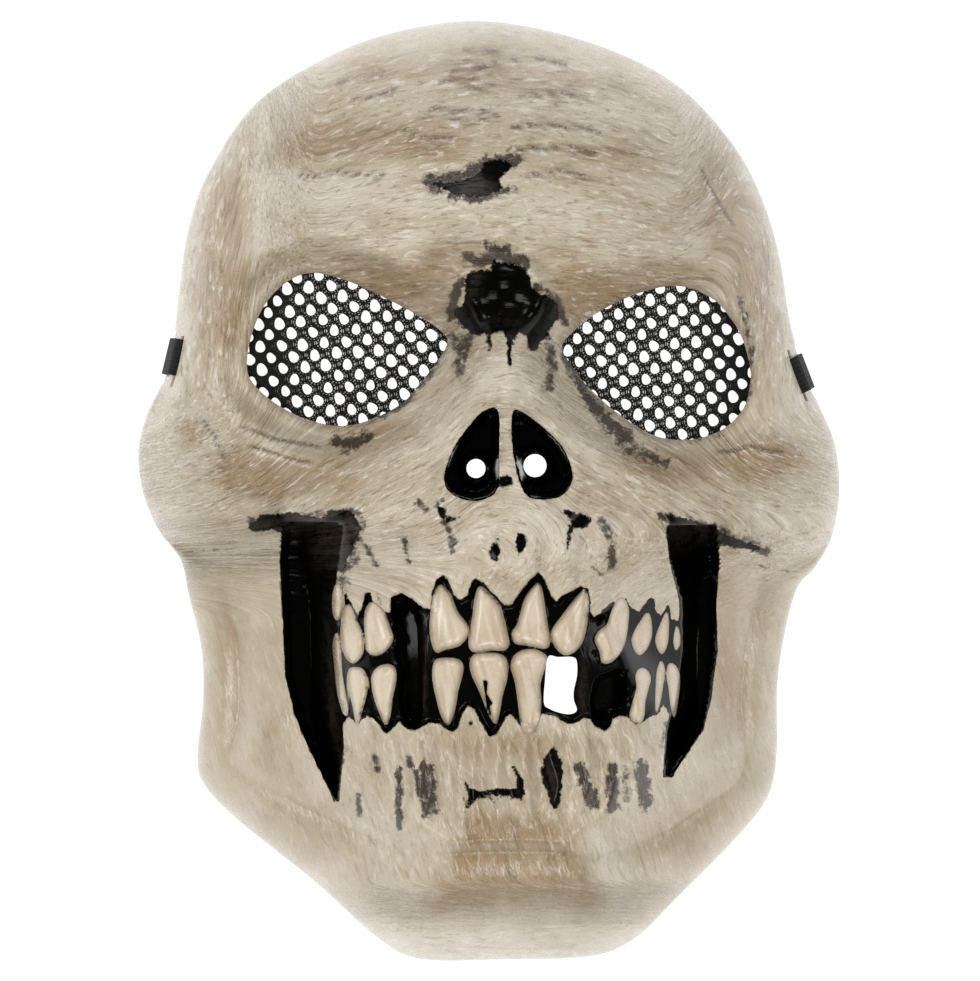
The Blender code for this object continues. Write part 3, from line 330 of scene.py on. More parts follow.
TEETH = {
    "upper_1": [(337, 583), (342, 590), (343, 604), (341, 616), (337, 620), (333, 612), (333, 594)],
    "upper_2": [(348, 604), (352, 608), (356, 618), (362, 632), (364, 648), (360, 658), (353, 663),
                (346, 657), (342, 645), (341, 628), (344, 612)],
    "upper_3": [(371, 602), (379, 606), (385, 613), (390, 627), (393, 639), (385, 651), (375, 655),
                (367, 650), (365, 633), (365, 612)],
    "upper_4": [(439, 585), (446, 588), (452, 597), (457, 611), (467, 624), (469, 633), (460, 645),
                (446, 649), (436, 652), (431, 639), (430, 621), (433, 597)],
    "upper_5": [(480, 586), (491, 595), (500, 605), (503, 615), (507, 631), (509, 644), (504, 650),
                (491, 650), (475, 652), (469, 646), (470, 632), (473, 614), (475, 597)],
    "upper_6": [(538, 583), (542, 589), (545, 608), (548, 628), (550, 638), (548, 647), (540, 648),
                (526, 645), (515, 643), (512, 633), (517, 625), (521, 612), (525, 598), (532, 588)],
    "upper_7": [(584, 589), (588, 596), (589, 604), (588, 616), (586, 630), (582, 643), (574, 652),
                (565, 655), (557, 649), (552, 640), (552, 630), (559, 620), (568, 608), (578, 595)],
    "upper_8": [(620, 598), (626, 601), (629, 612), (627, 633), (624, 646), (617, 657), (609, 663),
                (602, 662), (600, 652), (595, 640), (599, 631), (607, 625), (611, 614), (615, 604)],
    "upper_9": [(647, 613), (651, 618), (652, 634), (648, 647), (641, 655), (635, 651), (632, 640),
                (636, 629), (641, 621)],
    "upper_10": [(667, 612), (669, 623), (668, 642), (663, 654), (658, 649), (656, 638), (661, 624)],
    "upper_11": [(677, 626), (680, 634), (680, 645), (676, 650), (674, 640)],
    "lower_1": [(337, 632), (341, 650), (342, 672), (347, 700), (348, 713), (344, 714), (338, 694),
                (335, 668), (333, 645)],
    "lower_2": [(349, 669), (357, 667), (364, 670), (368, 682), (366, 696), (362, 711), (357, 725),
                (353, 706), (348, 684)],
    "lower_3": [(378, 667), (388, 664), (395, 668), (396, 680), (392, 699), (390, 716), (386, 725),
                (381, 716), (375, 700), (372, 686), (372, 675)],
    "lower_4": [(437, 659), (451, 658), (461, 661), (463, 671), (458, 690), (456, 703), (453, 716),
                (448, 725), (442, 717), (437, 700), (433, 681), (433, 667)],
    "lower_5": [(475, 654), (488, 653), (500, 654), (507, 661), (507, 678), (502, 696), (500, 709),
                (496, 724), (488, 712), (480, 692), (472, 675), (470, 662)],
    "lower_6": [(524, 650), (537, 650), (547, 657), (545, 668), (540, 684), (541, 700), (540, 716),
                (536, 728), (530, 734), (522, 729), (518, 700), (515, 681), (511, 667), (514, 656)],
    "lower_7": [(641, 668), (648, 671), (651, 679), (648, 691), (645, 704), (644, 718), (638, 724),
                (630, 717), (633, 703), (637, 687), (636, 675)],
    "lower_8": [(661, 661), (665, 669), (663, 688), (660, 704), (656, 714), (656, 692), (657, 673)],
    "lower_9": [(669, 664), (676, 666), (680, 676), (679, 694), (675, 718), (671, 705), (669, 688),
                (667, 676)],
}
TOOTH_LIFT = 3.0
TOOTH_ROUND = 3.4
MOUTH_DEPTH = 3.2
TOOTH_REACH = 6.0
MOUTH_SIGHT = (50.0, 100.0)

# Where the mouth and its gaps sink and the bone's relief ends, inside each outline
MOUTH_EDGE = (-0.5, 1.2)
GAP_EDGE = (-0.6, 1.8)
BARE_EDGE = (-1.0, 0.6)

# The soft upright ridges that the roots raise over and under the teeth
MOUTH_MIDDLE = 5.0
ROOTS_HALF_WIDTH = 46.0
ROOTS_FADE = 8.0
UPPER_ROOTS = ((-29.0, -24.0), (-14.0, -5.0))
UPPER_ROOT_START = 1.0
UPPER_ROOT_PITCH = 10.4
UPPER_ROOT_HEIGHT = 0.7
LOWER_ROOTS = ((-94.0, -88.0), (-72.0, -66.0))
LOWER_ROOT_START = -5.0
LOWER_ROOT_PITCH = 7.6
LOWER_ROOT_HEIGHT = 1.1
LOWER_ROOT_LEVEL = -80.0
LOWER_ROOT_LEAN = 0.05
KNOBS = ((-32.0, -22.0), (-12.0, 2.0))
KNOBS_HALF_WIDTH = 48.0
KNOBS_FADE = 10.0

# Seeded noise in the relief, in millimetres
NOISE_CELLS = 64
NOISE = {
    # name: height, length_a, length_b, seed
    "long_wave": (0.26, 3.2, 16.0, 1),
    "short_wave": (0.13, 1.5, 9.0, 2),
    "knob": (0.55, 3.4, 4.8, 3),
    "swell": (0.35, 13.0, 13.0, 4),
    "root_sway": (1.6, 9.0, 9.0, 5),
    "wrinkle_sway": (0.6, 4.0, 9.0, 6),
    "tooth_skin": (0.15, 1.3, 5.0, 7),
}

# Black paint, as outlines in the picture's pixels
BLACK_PAINT = {
    "glabella": [
        (493, 259), (491, 270), (479, 271), (467, 274), (465, 286), (464, 302), (455, 312),
        (457, 320), (464, 328), (478, 336), (485, 335), (489, 350), (492, 344), (491, 334),
        (504, 332), (508, 348), (512, 348), (518, 334), (527, 338), (528, 350), (538, 351),
        (539, 342), (548, 337), (549, 329), (556, 321), (558, 309), (554, 300), (545, 294),
        (536, 292), (531, 283), (528, 272), (521, 267), (511, 263), (501, 264),
    ],
    "cheek_right": [
        (248, 527), (255, 521), (261, 515), (281, 514), (296, 513), (306, 516), (319, 519),
        (330, 511), (342, 510), (354, 514), (361, 526), (357, 541), (350, 556), (340, 572),
        (326, 562), (300, 554), (284, 546), (283, 532), (272, 530), (256, 532),
    ],
    "cheek_left": [
        (664, 515), (688, 519), (712, 529), (736, 539), (762, 548), (744, 549), (722, 545),
        (712, 552), (704, 560), (690, 552), (678, 545), (674, 526),
    ],
    "forehead_main": [
        (431, 182), (448, 184), (463, 181), (479, 175), (484, 163), (500, 160), (513, 165),
        (505, 174), (499, 181), (503, 189), (492, 193), (479, 197), (455, 194), (439, 188),
    ],
    "nose_septum": [(498, 477), (512, 477), (512, 486), (498, 486)],
    "chin_bar": [
        (464, 780), (470, 788), (480, 791), (494, 789), (508, 789), (516, 789), (516, 776),
        (511, 764), (520, 771), (524, 786), (522, 801), (512, 796), (490, 795), (473, 801),
        (464, 812), (468, 797),
    ],
    "chin_slot": [
        (553, 747), (561, 760), (563, 778), (558, 808), (551, 806), (546, 789), (541, 771),
        (546, 756),
    ],
    "maxilla_left_mark": [(561, 510), (570, 511), (591, 518), (588, 526), (574, 529), (569, 545),
                          (566, 555), (567, 535), (571, 520)],
    "maxilla_right_mark": [(438, 507), (446, 509), (446, 518), (462, 516), (452, 522), (441, 519)],
    "maxilla_wedge_right": [(499, 539), (498, 562), (488, 552)],
    "maxilla_wedge_left": [(518, 533), (528, 541), (518, 555)],
    "gum_dot": [(469, 722), (472, 722), (472, 725), (469, 725)],
    "drop_1": [(507, 352), (512, 352), (510, 366)],
    "drop_2": [(508, 362), (512, 364), (509, 366)],
}

# The dark crack in a lower tooth, and how much deeper it counts than the tooth's own edge
TOOTH_CRACK = [
    (483, 680), (488, 682), (487, 693), (493, 703), (490, 706), (492, 717), (487, 708), (485, 694),
]
CRACK_DEPTH = 2.0

# How much cleaner the edge of a cavity is than the edge of brushed paint
CLEAN_EDGE = 4.0

# Where the black paint turns grey, a thin brown-grey wash on the cheek bands and painted light on the lit
# walls of the dark hollows: middle and radii in pixels, and share
GREY_WASH_AND_LIT_WALLS = [
    # x, y, radius_x, radius_y, share
    (295, 524, 60, 12, 0.9),
    (338, 540, 26, 30, 1.0),
    (332, 640, 9, 60, 0.5),
    (335, 730, 9, 50, 0.5),
    (583, 690, 5, 30, 0.5),
    (473, 286, 8, 14, 0.7),
    (505, 322, 28, 5, 0.25),
    (712, 534, 55, 14, 0.9),
    (552, 778, 7, 24, 0.7),
    (476, 189, 26, 5, 0.55),
    (425, 655, 3, 60, 0.45),
]

# Soft dark stains, and painted shade in the eye sockets, the creases and under the cheekbones: a line in
# the picture's pixels, its half-width in millimetres and its strength
SOOT_AND_SHADE = [
    ([(436, 352), (424, 376), (404, 398), (384, 412)], 2.0, 0.95),
    ([(402, 392), (396, 404)], 2.5, 0.7),
    ([(337, 441), (352, 444), (366, 437)], 2.4, 0.85),
    ([(345, 450), (340, 446)], 2.2, 0.6),
    ([(566, 356), (584, 392), (604, 416), (628, 436)], 2.0, 0.9),
    ([(596, 408), (622, 444), (650, 456), (664, 462)], 3.0, 0.62),
    ([(452, 336), (463, 350), (459, 374)], 2.4, 0.66),
    ([(549, 340), (554, 362), (549, 386)], 2.4, 0.66),
    ([(466, 258), (482, 262), (500, 256), (522, 262)], 2.2, 0.85),
    ([(460, 282), (454, 300), (452, 316)], 2.0, 0.9),
    ([(536, 288), (556, 300), (562, 318)], 1.8, 0.85),
    ([(470, 336), (466, 348)], 1.6, 0.85),
    ([(487, 247), (507, 250)], 1.8, 0.8),
    ([(456, 288), (452, 306)], 1.6, 0.8),
    ([(524, 258), (528, 268)], 1.2, 0.8),
    ([(556, 318), (566, 322)], 2.0, 0.6),
    ([(250, 522), (320, 514), (358, 512)], 1.8, 0.62),
    ([(358, 524), (352, 556), (338, 588)], 3.0, 0.62),
    ([(662, 516), (712, 528), (768, 552)], 2.0, 0.7),
    ([(672, 530), (680, 556), (686, 590)], 2.8, 0.62),
    ([(690, 440), (730, 436)], 2.8, 0.42),
    ([(418, 502), (426, 510)], 1.4, 0.62),
    ([(441, 500), (436, 506)], 1.2, 0.6),
    ([(443, 516), (454, 540), (452, 550)], 1.6, 0.66),
    ([(600, 520), (612, 540), (612, 566)], 1.8, 0.66),
    ([(366, 546), (376, 564)], 1.3, 0.66),
    ([(404, 540), (409, 562)], 1.2, 0.62),
    ([(376, 590), (380, 604)], 1.0, 0.4),
    ([(590, 566), (606, 578)], 1.0, 0.4),
    ([(432, 183), (462, 178), (482, 168), (512, 160)], 3.2, 0.85),
    ([(452, 196), (480, 200), (506, 190)], 1.6, 0.8),
    ([(375, 756), (376, 772)], 1.3, 0.72),
    ([(358, 796), (360, 814)], 1.4, 0.72),
    ([(399, 770), (399, 826)], 1.3, 0.82),
    ([(409, 758), (410, 763)], 1.3, 0.9),
    ([(417, 772), (421, 796)], 1.2, 0.86),
    ([(426, 768), (430, 810)], 2.8, 0.85),
    ([(582, 768), (590, 800)], 2.4, 0.85),
    ([(594, 792), (598, 808)], 1.2, 0.86),
    ([(613, 768), (613, 808)], 2.0, 0.85),
    ([(625, 768), (628, 800)], 1.4, 0.62),
    ([(641, 768), (646, 804)], 2.6, 0.85),
    ([(466, 798), (520, 796)], 1.8, 0.5),
    ([(741, 300), (752, 350), (748, 400)], 1.4, 0.6),
    ([(184, 552), (240, 548)], 0.7, 0.42),
    ([(801, 573), (760, 566)], 0.7, 0.42),
    ([(242, 140), (222, 170)], 1.2, 0.3),
    ([(335, 720), (345, 745), (338, 770)], 1.6, 0.5),
    ([(668, 722), (664, 745), (672, 760)], 1.6, 0.5),
]

# Tan stains, and painted shade that darkens the temples and the brows' downward slopes: middle and radii
# in the picture's pixels, and strength
TAN_AND_SHADE = [
    # x, y, radius_x, radius_y, strength
    (400, 142, 110, 24, 0.75),
    (300, 150, 40, 22, 0.5),
    (615, 160, 60, 22, 0.6),
    (395, 72, 45, 16, 0.8),
    (330, 95, 30, 16, 0.4),
    (575, 88, 60, 14, 0.45),
    (480, 66, 40, 30, 0.6),
    (400, 292, 76, 26, 0.85),
    (330, 262, 50, 14, 0.4),
    (600, 290, 60, 26, 0.85),
    (690, 282, 50, 16, 0.5),
    (450, 262, 60, 18, 0.45),
    (570, 262, 50, 16, 0.45),
    (228, 250, 22, 70, 0.6),
    (206, 330, 16, 50, 0.4),
    (716, 190, 28, 60, 0.8),
    (748, 250, 20, 70, 0.7),
    (240, 175, 20, 60, 0.5),
    (234, 320, 16, 50, 0.5),
    (766, 330, 16, 60, 0.5),
    (242, 470, 30, 34, 0.7),
    (290, 480, 60, 26, 0.75),
    (350, 425, 60, 18, 0.4),
    (189, 430, 12, 14, 0.9),
    (770, 460, 40, 24, 0.8),
    (705, 470, 60, 22, 0.6),
    (640, 470, 30, 22, 0.4),
    (470, 740, 60, 24, 0.45),
    (560, 750, 60, 20, 0.35),
    (230, 650, 26, 90, 0.35),
    (270, 700, 14, 80, 0.4),
    (726, 640, 18, 90, 0.6),
    (690, 560, 14, 30, 0.5),
    (290, 830, 60, 40, 0.3),
    (690, 830, 50, 40, 0.35),
    (430, 530, 40, 16, 0.2),
    (505, 580, 30, 12, 0.5),
    (600, 500, 30, 16, 0.3),
]
CHIN_TAN = [
    (472, 818), (500, 812), (553, 816), (580, 842), (606, 893), (587, 915), (540, 904),
    (500, 908), (434, 912), (440, 880), (458, 848),
]
CHIN_TAN_STRENGTH = 0.85
CHIN_TAN_EDGE = (-5.0, 5.0)

# How a soft spot falls off, and how much all of them may add up to
SPOT_POWER = 1.3
MOST_SPOTS = 1.5

# Painted highlights, light places on the ridges and edges: middle and radii in the picture's pixels, and
# strength
PAINTED_HIGHLIGHTS = [
    # x, y, radius_x, radius_y, strength
    (226, 556, 30, 8, 0.8),
    (262, 540, 22, 7, 0.9),
    (330, 190, 90, 22, 0.6),
    (560, 205, 80, 20, 0.6),
    (470, 30, 120, 14, 0.4),
    (258, 200, 10, 70, 0.7),
    (700, 220, 10, 60, 0.6),
    (505, 380, 30, 26, 0.9),
    (540, 520, 60, 14, 0.5),
    (500, 545, 110, 30, 0.35),
    (280, 442, 50, 14, 0.5),
    (400, 935, 110, 16, 0.4),
    (590, 860, 30, 40, 0.3),
    (620, 880, 30, 20, 0.4),
    (790, 500, 26, 30, 0.4),
    (170, 490, 20, 50, 0.5),
]

# The run of the streaks: where each part of the face takes over, and how its streaks lean
FACE_MIDDLE = 4.0
FOREHEAD_FROM = (40.0, 100.0)
FOREHEAD_BOW = 0.004
BROW_FROM = (34.0, 60.0)
CHEEK_LEAN = 0.55
CHEEK_OUT = (0.0, 20.0)
CHEEK_FROM = (60.0, 30.0)
TEMPLE_MIDDLE = 2.0
TEMPLE_OUT = (48.0, 76.0)
TEMPLE_FROM = (-8.0, 30.0)
TEMPLE_LEVEL = 20.0
TEMPLE_SHARE = 0.45
JAW_FROM = (-36.0, -6.0)
JAW_GRAIN = (0.9, 0.25)
CHIN_FROM = (-122.0, -108.0)

# Where the streaks are fainter, and by how much
LOW_FACE = (-30.0, -12.0)
LOW_CALM = 0.35
MUZZLE_OUT = (44.0, 56.0)
MUZZLE_TAPER = 0.3
MUZZLE_TAPER_FROM = -80.0
MUZZLE_CALM = 0.3
CROWN_FROM = (110.0, 126.0)
CROWN_CALM = 0.5

# The strap: its section, its slots and notches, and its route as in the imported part
STRAP_WIDTH = 10.0
STRAP_THICK = 1.0
GAP = 0.3
STRAPS = {
    # side: sign along X, v of the middle
    "right": (-1, 36.8),
    "left": (1, 33.2),
}
NOTCH_LENGTH = 15.0
NOTCH_HEIGHT = 6.0
NOTCH_INWARD = 14.0
NOTCH_OUTWARD = 6.0
NOTCH_BELOW = -2.0
STRAP_UNDER = 3.4
SLOT_LENGTH = 14.0
SLOT_SHIFT = -1.7
SLOT_LOW = 21.6
SLOT_HIGH = 24.8
STRAP_ROUTE = [
    # x, y, z, turn (0 lies flat, 1 stands on edge)
    (-77.5, 36.0, 22.6, 0.0),
    (-73.5, 40.5, 20.8, 0.35),
    (-71.5, 47.0, 16.0, 0.75),
    (-70.5, 56.0, 9.0, 1.0),
    (-66.0, 74.0, 5.8, 1.0),
    (-54.0, 92.0, 5.6, 1.0),
    (-30.0, 106.0, 5.6, 1.0),
    (1.0, 110.5, 5.6, 1.0),
    (31.0, 105.0, 5.6, 1.0),
    (53.5, 90.5, 5.6, 1.0),
    (65.0, 72.5, 5.8, 1.0),
    (69.0, 54.5, 9.0, 1.0),
    (70.0, 44.0, 16.0, 0.75),
    (72.5, 37.0, 20.8, 0.35),
    (76.5, 32.2, 22.6, 0.0),
]
STRAP_STEPS = 6
STRAP_FOOT = 6.6
STRAP_MIDWAY = 12.0
STRAP_HEAD_INSIDE = 17.5
STRAP_HEAD_OUTSIDE = 19.0
STRAP_TURN = 0.9
SEWN_LENGTH = 9.0
SLANT_SPAN = 8.0
PROBE_START = 0.02
PROBE_STEP = 0.0004
STRAP_SHARP_ANGLE = 40

# The net: its lattice, a hole's place in it for each eye, and the sizes of holes
NET_ALONG = (5.94, 0.42)
NET_DOWN = (-2.72, -3.33)
NET_START = {"right": (-39.5, 35.0), "left": (46.0, 34.0)}
NET_HOLE_RADIUS = 1.5
NET_HOLE_SPREAD = 0.10
NET_MARGIN = 2.2
NET_DROP = 2.7
NET_THICK = 0.35
NET_SIDES = 18
NET_LEAN = 1.9
NET_LEAN_SPREAD = 0.8
NET_WANDER = 0.35
NET_OVAL = 0.07
NET_OVAL_SPREAD = 0.05
NET_EGG = 0.06
NET_REACH = 16
NET_WELD = 0.02

# Meshing: the raster for the base form, the cells and rings of each sheet, and where they crowd
RASTER_STEP = 1.0
RASTER_U = np.arange(-110.0, 110.5, RASTER_STEP)
RASTER_V = np.arange(-142.0, 142.5, RASTER_STEP)
STAR_CENTRE = (2.0, -12.0)
OUTER_CELLS = (226, 298)
INNER_CELLS = (OUTER_CELLS[0] // 2, OUTER_CELLS[1] // 2)
CROWDING = 1.3
CROWD_ACROSS = (0.04, 0.42)
CROWD_UP = (-0.26, 0.34)
CORE_REACH = 0.93
RINGS = (0.942, 0.955, 0.967, 0.978, 0.987, 0.994, 1.0)
INNER_SPREAD = 2.0
INNER_PROBES = 8
SQUARE_FROM = (0.78, 0.94)
RIM_STEPS = 8
WALL_RISE = 1.5
WALL_BLEND = 3.0
FINE_STEPS = 801
SHELL_SHARP_ANGLE = 60
INSIDE_FACING = -0.05

# Colours, as seen on a screen
BONE_LIGHT = (208, 197, 176)
BONE_MID = (190, 176, 151)
# tan colour of real stains and of painted shade on the temples and brow slopes
BONE_TAN_AND_SHADE = (164, 140, 107)
# BONE_BROWN serves the grain's brown streaks and flecks, the teeth's border and the painted shade round
# the eyes
BONE_BROWN = (108, 86, 60)
# BONE_WHITE serves the light flecks of the grain and the painted highlights along the wrinkles
BONE_WHITE = (236, 230, 219)
# painted shade in the wrinkle grooves
WRINKLE_SHADE_BROWN = (84, 64, 44)
TOOTH_LIGHT = (218, 203, 180)
TOOTH_DARK = (194, 174, 146)
# colour of soot stains and of painted shade in sockets, creases and under the cheekbones
SOOT_AND_SHADE_COLOUR = (44, 34, 26)
BLACK_COLOUR = (5, 5, 4)
# grey of the wash, and of painted light on the walls of the recesses
GREY_WASH_AND_LIT_WALL_COLOUR = (62, 55, 48)
INSIDE_COLOUR = (206, 200, 188)
NET_COLOUR = (18, 18, 18)
# pores painted as the bright floor's light showing through them
PORE_LIGHT_THROUGH_COLOUR = (225, 225, 222)
STRAP_DARK = (8, 8, 9)
STRAP_LIGHT = (26, 26, 28)

# Paint textures: the coordinates that each reads, and its noise
TEXTURES = {
    # name: coordinates, scale, offset, detail, distortion, roughness
    "streak": ("grain", (0.5, 0.06, 1.0), (0.0, 0.0, 0.0), 4.0, 0.8, 0.55),
    "wide_streak": ("grain", (0.16, 0.035, 1.0), (7.0, 3.0, 0.0), 3.0, 0.8, 0.55),
    "fleck": ("grain", (0.95, 0.24, 1.0), (3.0, 9.0, 0.0), 2.0, 0.7, 0.55),
    "cloud": ("front", (0.06, 0.06, 1.0), (0.0, 0.0, 0.0), 5.0, 0.8, 0.55),
    "ragged": ("front", (0.45, 0.45, 1.0), (0.0, 0.0, 0.0), 5.0, 0.4, 0.65),
    "speck": ("front", (1.2, 1.2, 1.0), (0.0, 0.0, 0.0), 3.0, 0.2, 0.6),
    "patchy": ("knit", (0.5, 0.5, 0.35), (0.0, 0.0, 0.0), 2.0, 0.0, 0.55),
}
BONE_TEXTURES = ("streak", "wide_streak", "fleck", "cloud", "ragged", "speck")

# Where each layer of paint starts and where it is full, in what it reads
FADES = {
    # name: start, full
    "mid": (-0.5, 0.3),
    "tan": (0.1, 1.0),
    "streak": (0.5, 0.75),
    "streak_tan": (-0.6, 0.9),
    "light_fleck": (0.55, 0.7),
    "dark_fleck": (0.44, 0.3),
    "wrinkle_highlight": (0.4, 0.6),
    "wrinkle_shade": (0.35, 0.5),
    "eye_edge_shade": (0.2, 2.6),
    "tooth": (-0.25, 0.05),
    "tooth_stain": (0.45, 0.75),
    "tooth_border": (0.0, 1.1),
    "soot_and_shade": (0.3, 0.7),
    "soot_and_shade_reach": (0.03, 0.3),
    "black": (-0.25, 0.25),
    "wash_and_lit_wall": (0.75, 1.25),
    "inside": (0.4, 0.6),
    "pore_bead": (0.3, 0.7),
    "pore_ring": (0.2, 0.1),
    "ladder": (0.1, 0.6),
    "ladder_row": (0.5, 0.36),
    "ladder_start": (1.9, 2.05),
    "patchy": (0.3, 0.55),
    "weave": (-1.2, 1.6),
}

# Layers on the bare bone, in the order in which they are painted: grain streaks and flecks, then painted
# highlights and shade along the wrinkles, and painted shade round the eyes
LAYERS = {
    # name: cover, colour
    "brown_streaks": (0.7, BONE_BROWN),
    "light_flecks": (0.55, BONE_WHITE),
    "dark_flecks": (0.45, BONE_BROWN),
    "wrinkle_highlight": (0.6, BONE_WHITE),
    "wrinkle_shade": (0.85, WRINKLE_SHADE_BROWN),
    # painted shade round the edge of each eye opening
    "eye_edge_shade": (0.55, BONE_BROWN),
}
TAN_STREAKS = 1.7
TAN_CLOUDS = 1.3
# how much the painted highlights lighten the bone
HIGHLIGHT_SHARE = 0.6
TOOTH_CLOUDS = 0.5
TOOTH_STREAKS = 0.6
TOOTH_BORDER = 0.4
SOOT_AND_SHADE_RAGS = (("ragged", 2.2), ("streak", 0.6), ("speck", 0.6))
SOOT_AND_SHADE_RAGGED = 0.7
# how fully the soot and painted shade cover the bone
SOOT_AND_SHADE_COVER = 0.93
BLACK_RAGS = (("ragged", 3.0), ("speck", 1.0))

# The paint's gloss and fine relief: black is glossier and reflects less than bone
RELIEF_STREAKS = 0.9
RELIEF_FLECKS = 0.8
RELIEF_LOST = 0.85
RELIEF_HEIGHT = 0.0007
BONE_ROUGHNESS = 0.16
RAGGED_ROUGHNESS = 0.24
BLACK_GLOSS = 0.12
BONE_SPECULAR = 0.5
BLACK_SPECULAR = -0.4

# The net's look: pores in a ring round each hole and in ladders between holes, on one side, painted light
# as the bright floor seen through them
PORES_ROUND = 14.0
PORE_RING_RADIUS = 1.92
LADDER_PITCH = 0.52
PORE_SIDE = {
    # side: sign, start, full
    "right": (1.0, -61.0, -44.0),
    "left": (-1.0, -68.0, -50.0),
}
NET_ROUGHNESS = 0.6
NET_SPECULAR = 0.25
NET_BUMPS = 9.0
WEAVE_HEIGHT = 0.00015

# The strap's look
RIB_PITCH = 0.9
RIB_SHARE = 0.6
CORD_PITCH = 1.25
STRAP_ROUGHNESS = 0.8

# The studio, in metres and watts
FLOOR_REACH = 3
FLOOR_DROP = 0.0002
FLOOR_GREY = 0.3
FLOOR_GLOW = 0.96
SKY_GLOW = 0.12
LIGHT_SIZE = 0.6
LIGHTS = {
    # name: place, power
    "top_box": ((-0.2, 1.1, 1.15), 7.5),
    "right_box": ((1.15, 0.0, 1.1), 7.0),
    "left_box": ((-1.15, 0.1, 1.1), 10.0),
    "low_box": ((0.2, -1.2, 1.1), 9.5),
}


def place(u, v, z):
    """Front-view points at a height, in metres: each stays on its sight line."""
    near = 1.0 - z / SIGHT_HEIGHT
    return METRE * (u * near - z * SIGHT_SLANT), METRE * v * near, METRE * z


def front_points(points):
    """The front-view points (u, v) and heights of points in metres."""
    x, y, z = (np.asarray(points, float) / METRE).T
    near = 1.0 - z / SIGHT_HEIGHT
    return (x + z * SIGHT_SLANT) / near, y / near, z


def from_picture(points):
    """Picture pixels as front-view points in millimetres."""
    return [((x - PICTURE_MIDDLE[0]) * PICTURE_MM, (PICTURE_MIDDLE[1] - y) * PICTURE_MM)
            for x, y in points]


def smooth_step(low, high, value):
    share = np.clip((value - low) / (high - low), 0.0, 1.0)
    return share * share * (3.0 - 2.0 * share)


def band(value, rise, fall):
    """1 between a rise and a fall, 0 beyond them and smooth between."""
    return smooth_step(*rise, value) * (1.0 - smooth_step(*fall, value))


def smooth_max(a, b, width):
    share = np.clip(0.5 + 0.5 * (a - b) / width, 0.0, 1.0)
    return b + (a - b) * share + width * share * (1.0 - share)


def smooth_min(a, b, width):
    return -smooth_max(-a, -b, width)


def span_points(before, start, end, beyond, steps):
    """Points of a smooth curve from start towards end."""
    points = []
    for step in np.arange(steps) / steps:
        b = (end - before) * step
        c = (2 * before - 5 * start + 4 * end - beyond) * step**2
        d = (3 * start - before - 3 * end + beyond) * step**3
        points.append(0.5 * (2 * start + b + c + d))
    return points


def closed_curve(points, steps):
    """Points of a smooth closed curve through the given ones, steps to each span."""
    given = np.array(points, float)
    curve = []
    for i in range(len(given)):
        corners = [given[(i + k) % len(given)] for k in (-1, 0, 1, 2)]
        curve += span_points(*corners, steps)
    return np.array(curve)


def line_distance(points, u, v, closed):
    """How far (u, v) is from a line of points."""
    ends = np.array(points, float)
    best = np.full(u.shape, np.inf)
    last = len(ends) if closed else len(ends) - 1
    for i in range(last):
        au, av = ends[i]
        bu, bv = ends[(i + 1) % len(ends)]
        du, dv = bu - au, bv - av
        share = np.clip(((u - au) * du + (v - av) * dv) / (du * du + dv * dv + 1e-9), 0.0, 1.0)
        best = np.minimum(best, np.hypot(u - au - share * du, v - av - share * dv))
    return best


def inside_distance(outline, u, v, reach=12.0):
    """How far (u, v) is inside a closed outline, negative outside it, worked out within reach."""
    ends = np.array(outline, float)
    low, high = ends.min(0) - reach, ends.max(0) + reach
    near = (u > low[0]) & (u < high[0]) & (v > low[1]) & (v < high[1])
    result = np.full(u.shape, -reach)
    pu, pv = u[near], v[near]
    inside = np.zeros(pu.shape, bool)
    for (au, av), (bu, bv) in zip(ends, np.roll(ends, -1, 0)):
        if av != bv:
            inside ^= ((av > pv) != (bv > pv)) & (pu < (bu - au) * (pv - av) / (bv - av) + au)
    distance = line_distance(outline, pu, pv, closed=True)
    result[near] = np.where(inside, distance, -np.minimum(distance, reach))
    return result


def blurred(field, radius):
    """A field on the raster, softened over a radius in millimetres."""
    reach = int(3 * radius / RASTER_STEP)
    weights = np.exp(-0.5 * (np.arange(-reach, reach + 1) * RASTER_STEP / radius) ** 2)
    weights /= weights.sum()
    for axis in (0, 1):
        pad = [(reach, reach) if k == axis else (0, 0) for k in (0, 1)]
        padded = np.pad(field, pad, mode="edge")
        size = field.shape[axis]
        field = sum(w * np.take(padded, range(i, i + size), axis) for i, w in enumerate(weights))
    return field


def column(rows, index, v):
    """A column of a table whose rows go down from the top, read at v."""
    table = np.array(rows, float)[::-1]
    return np.interp(v, table[:, 0], table[:, index])


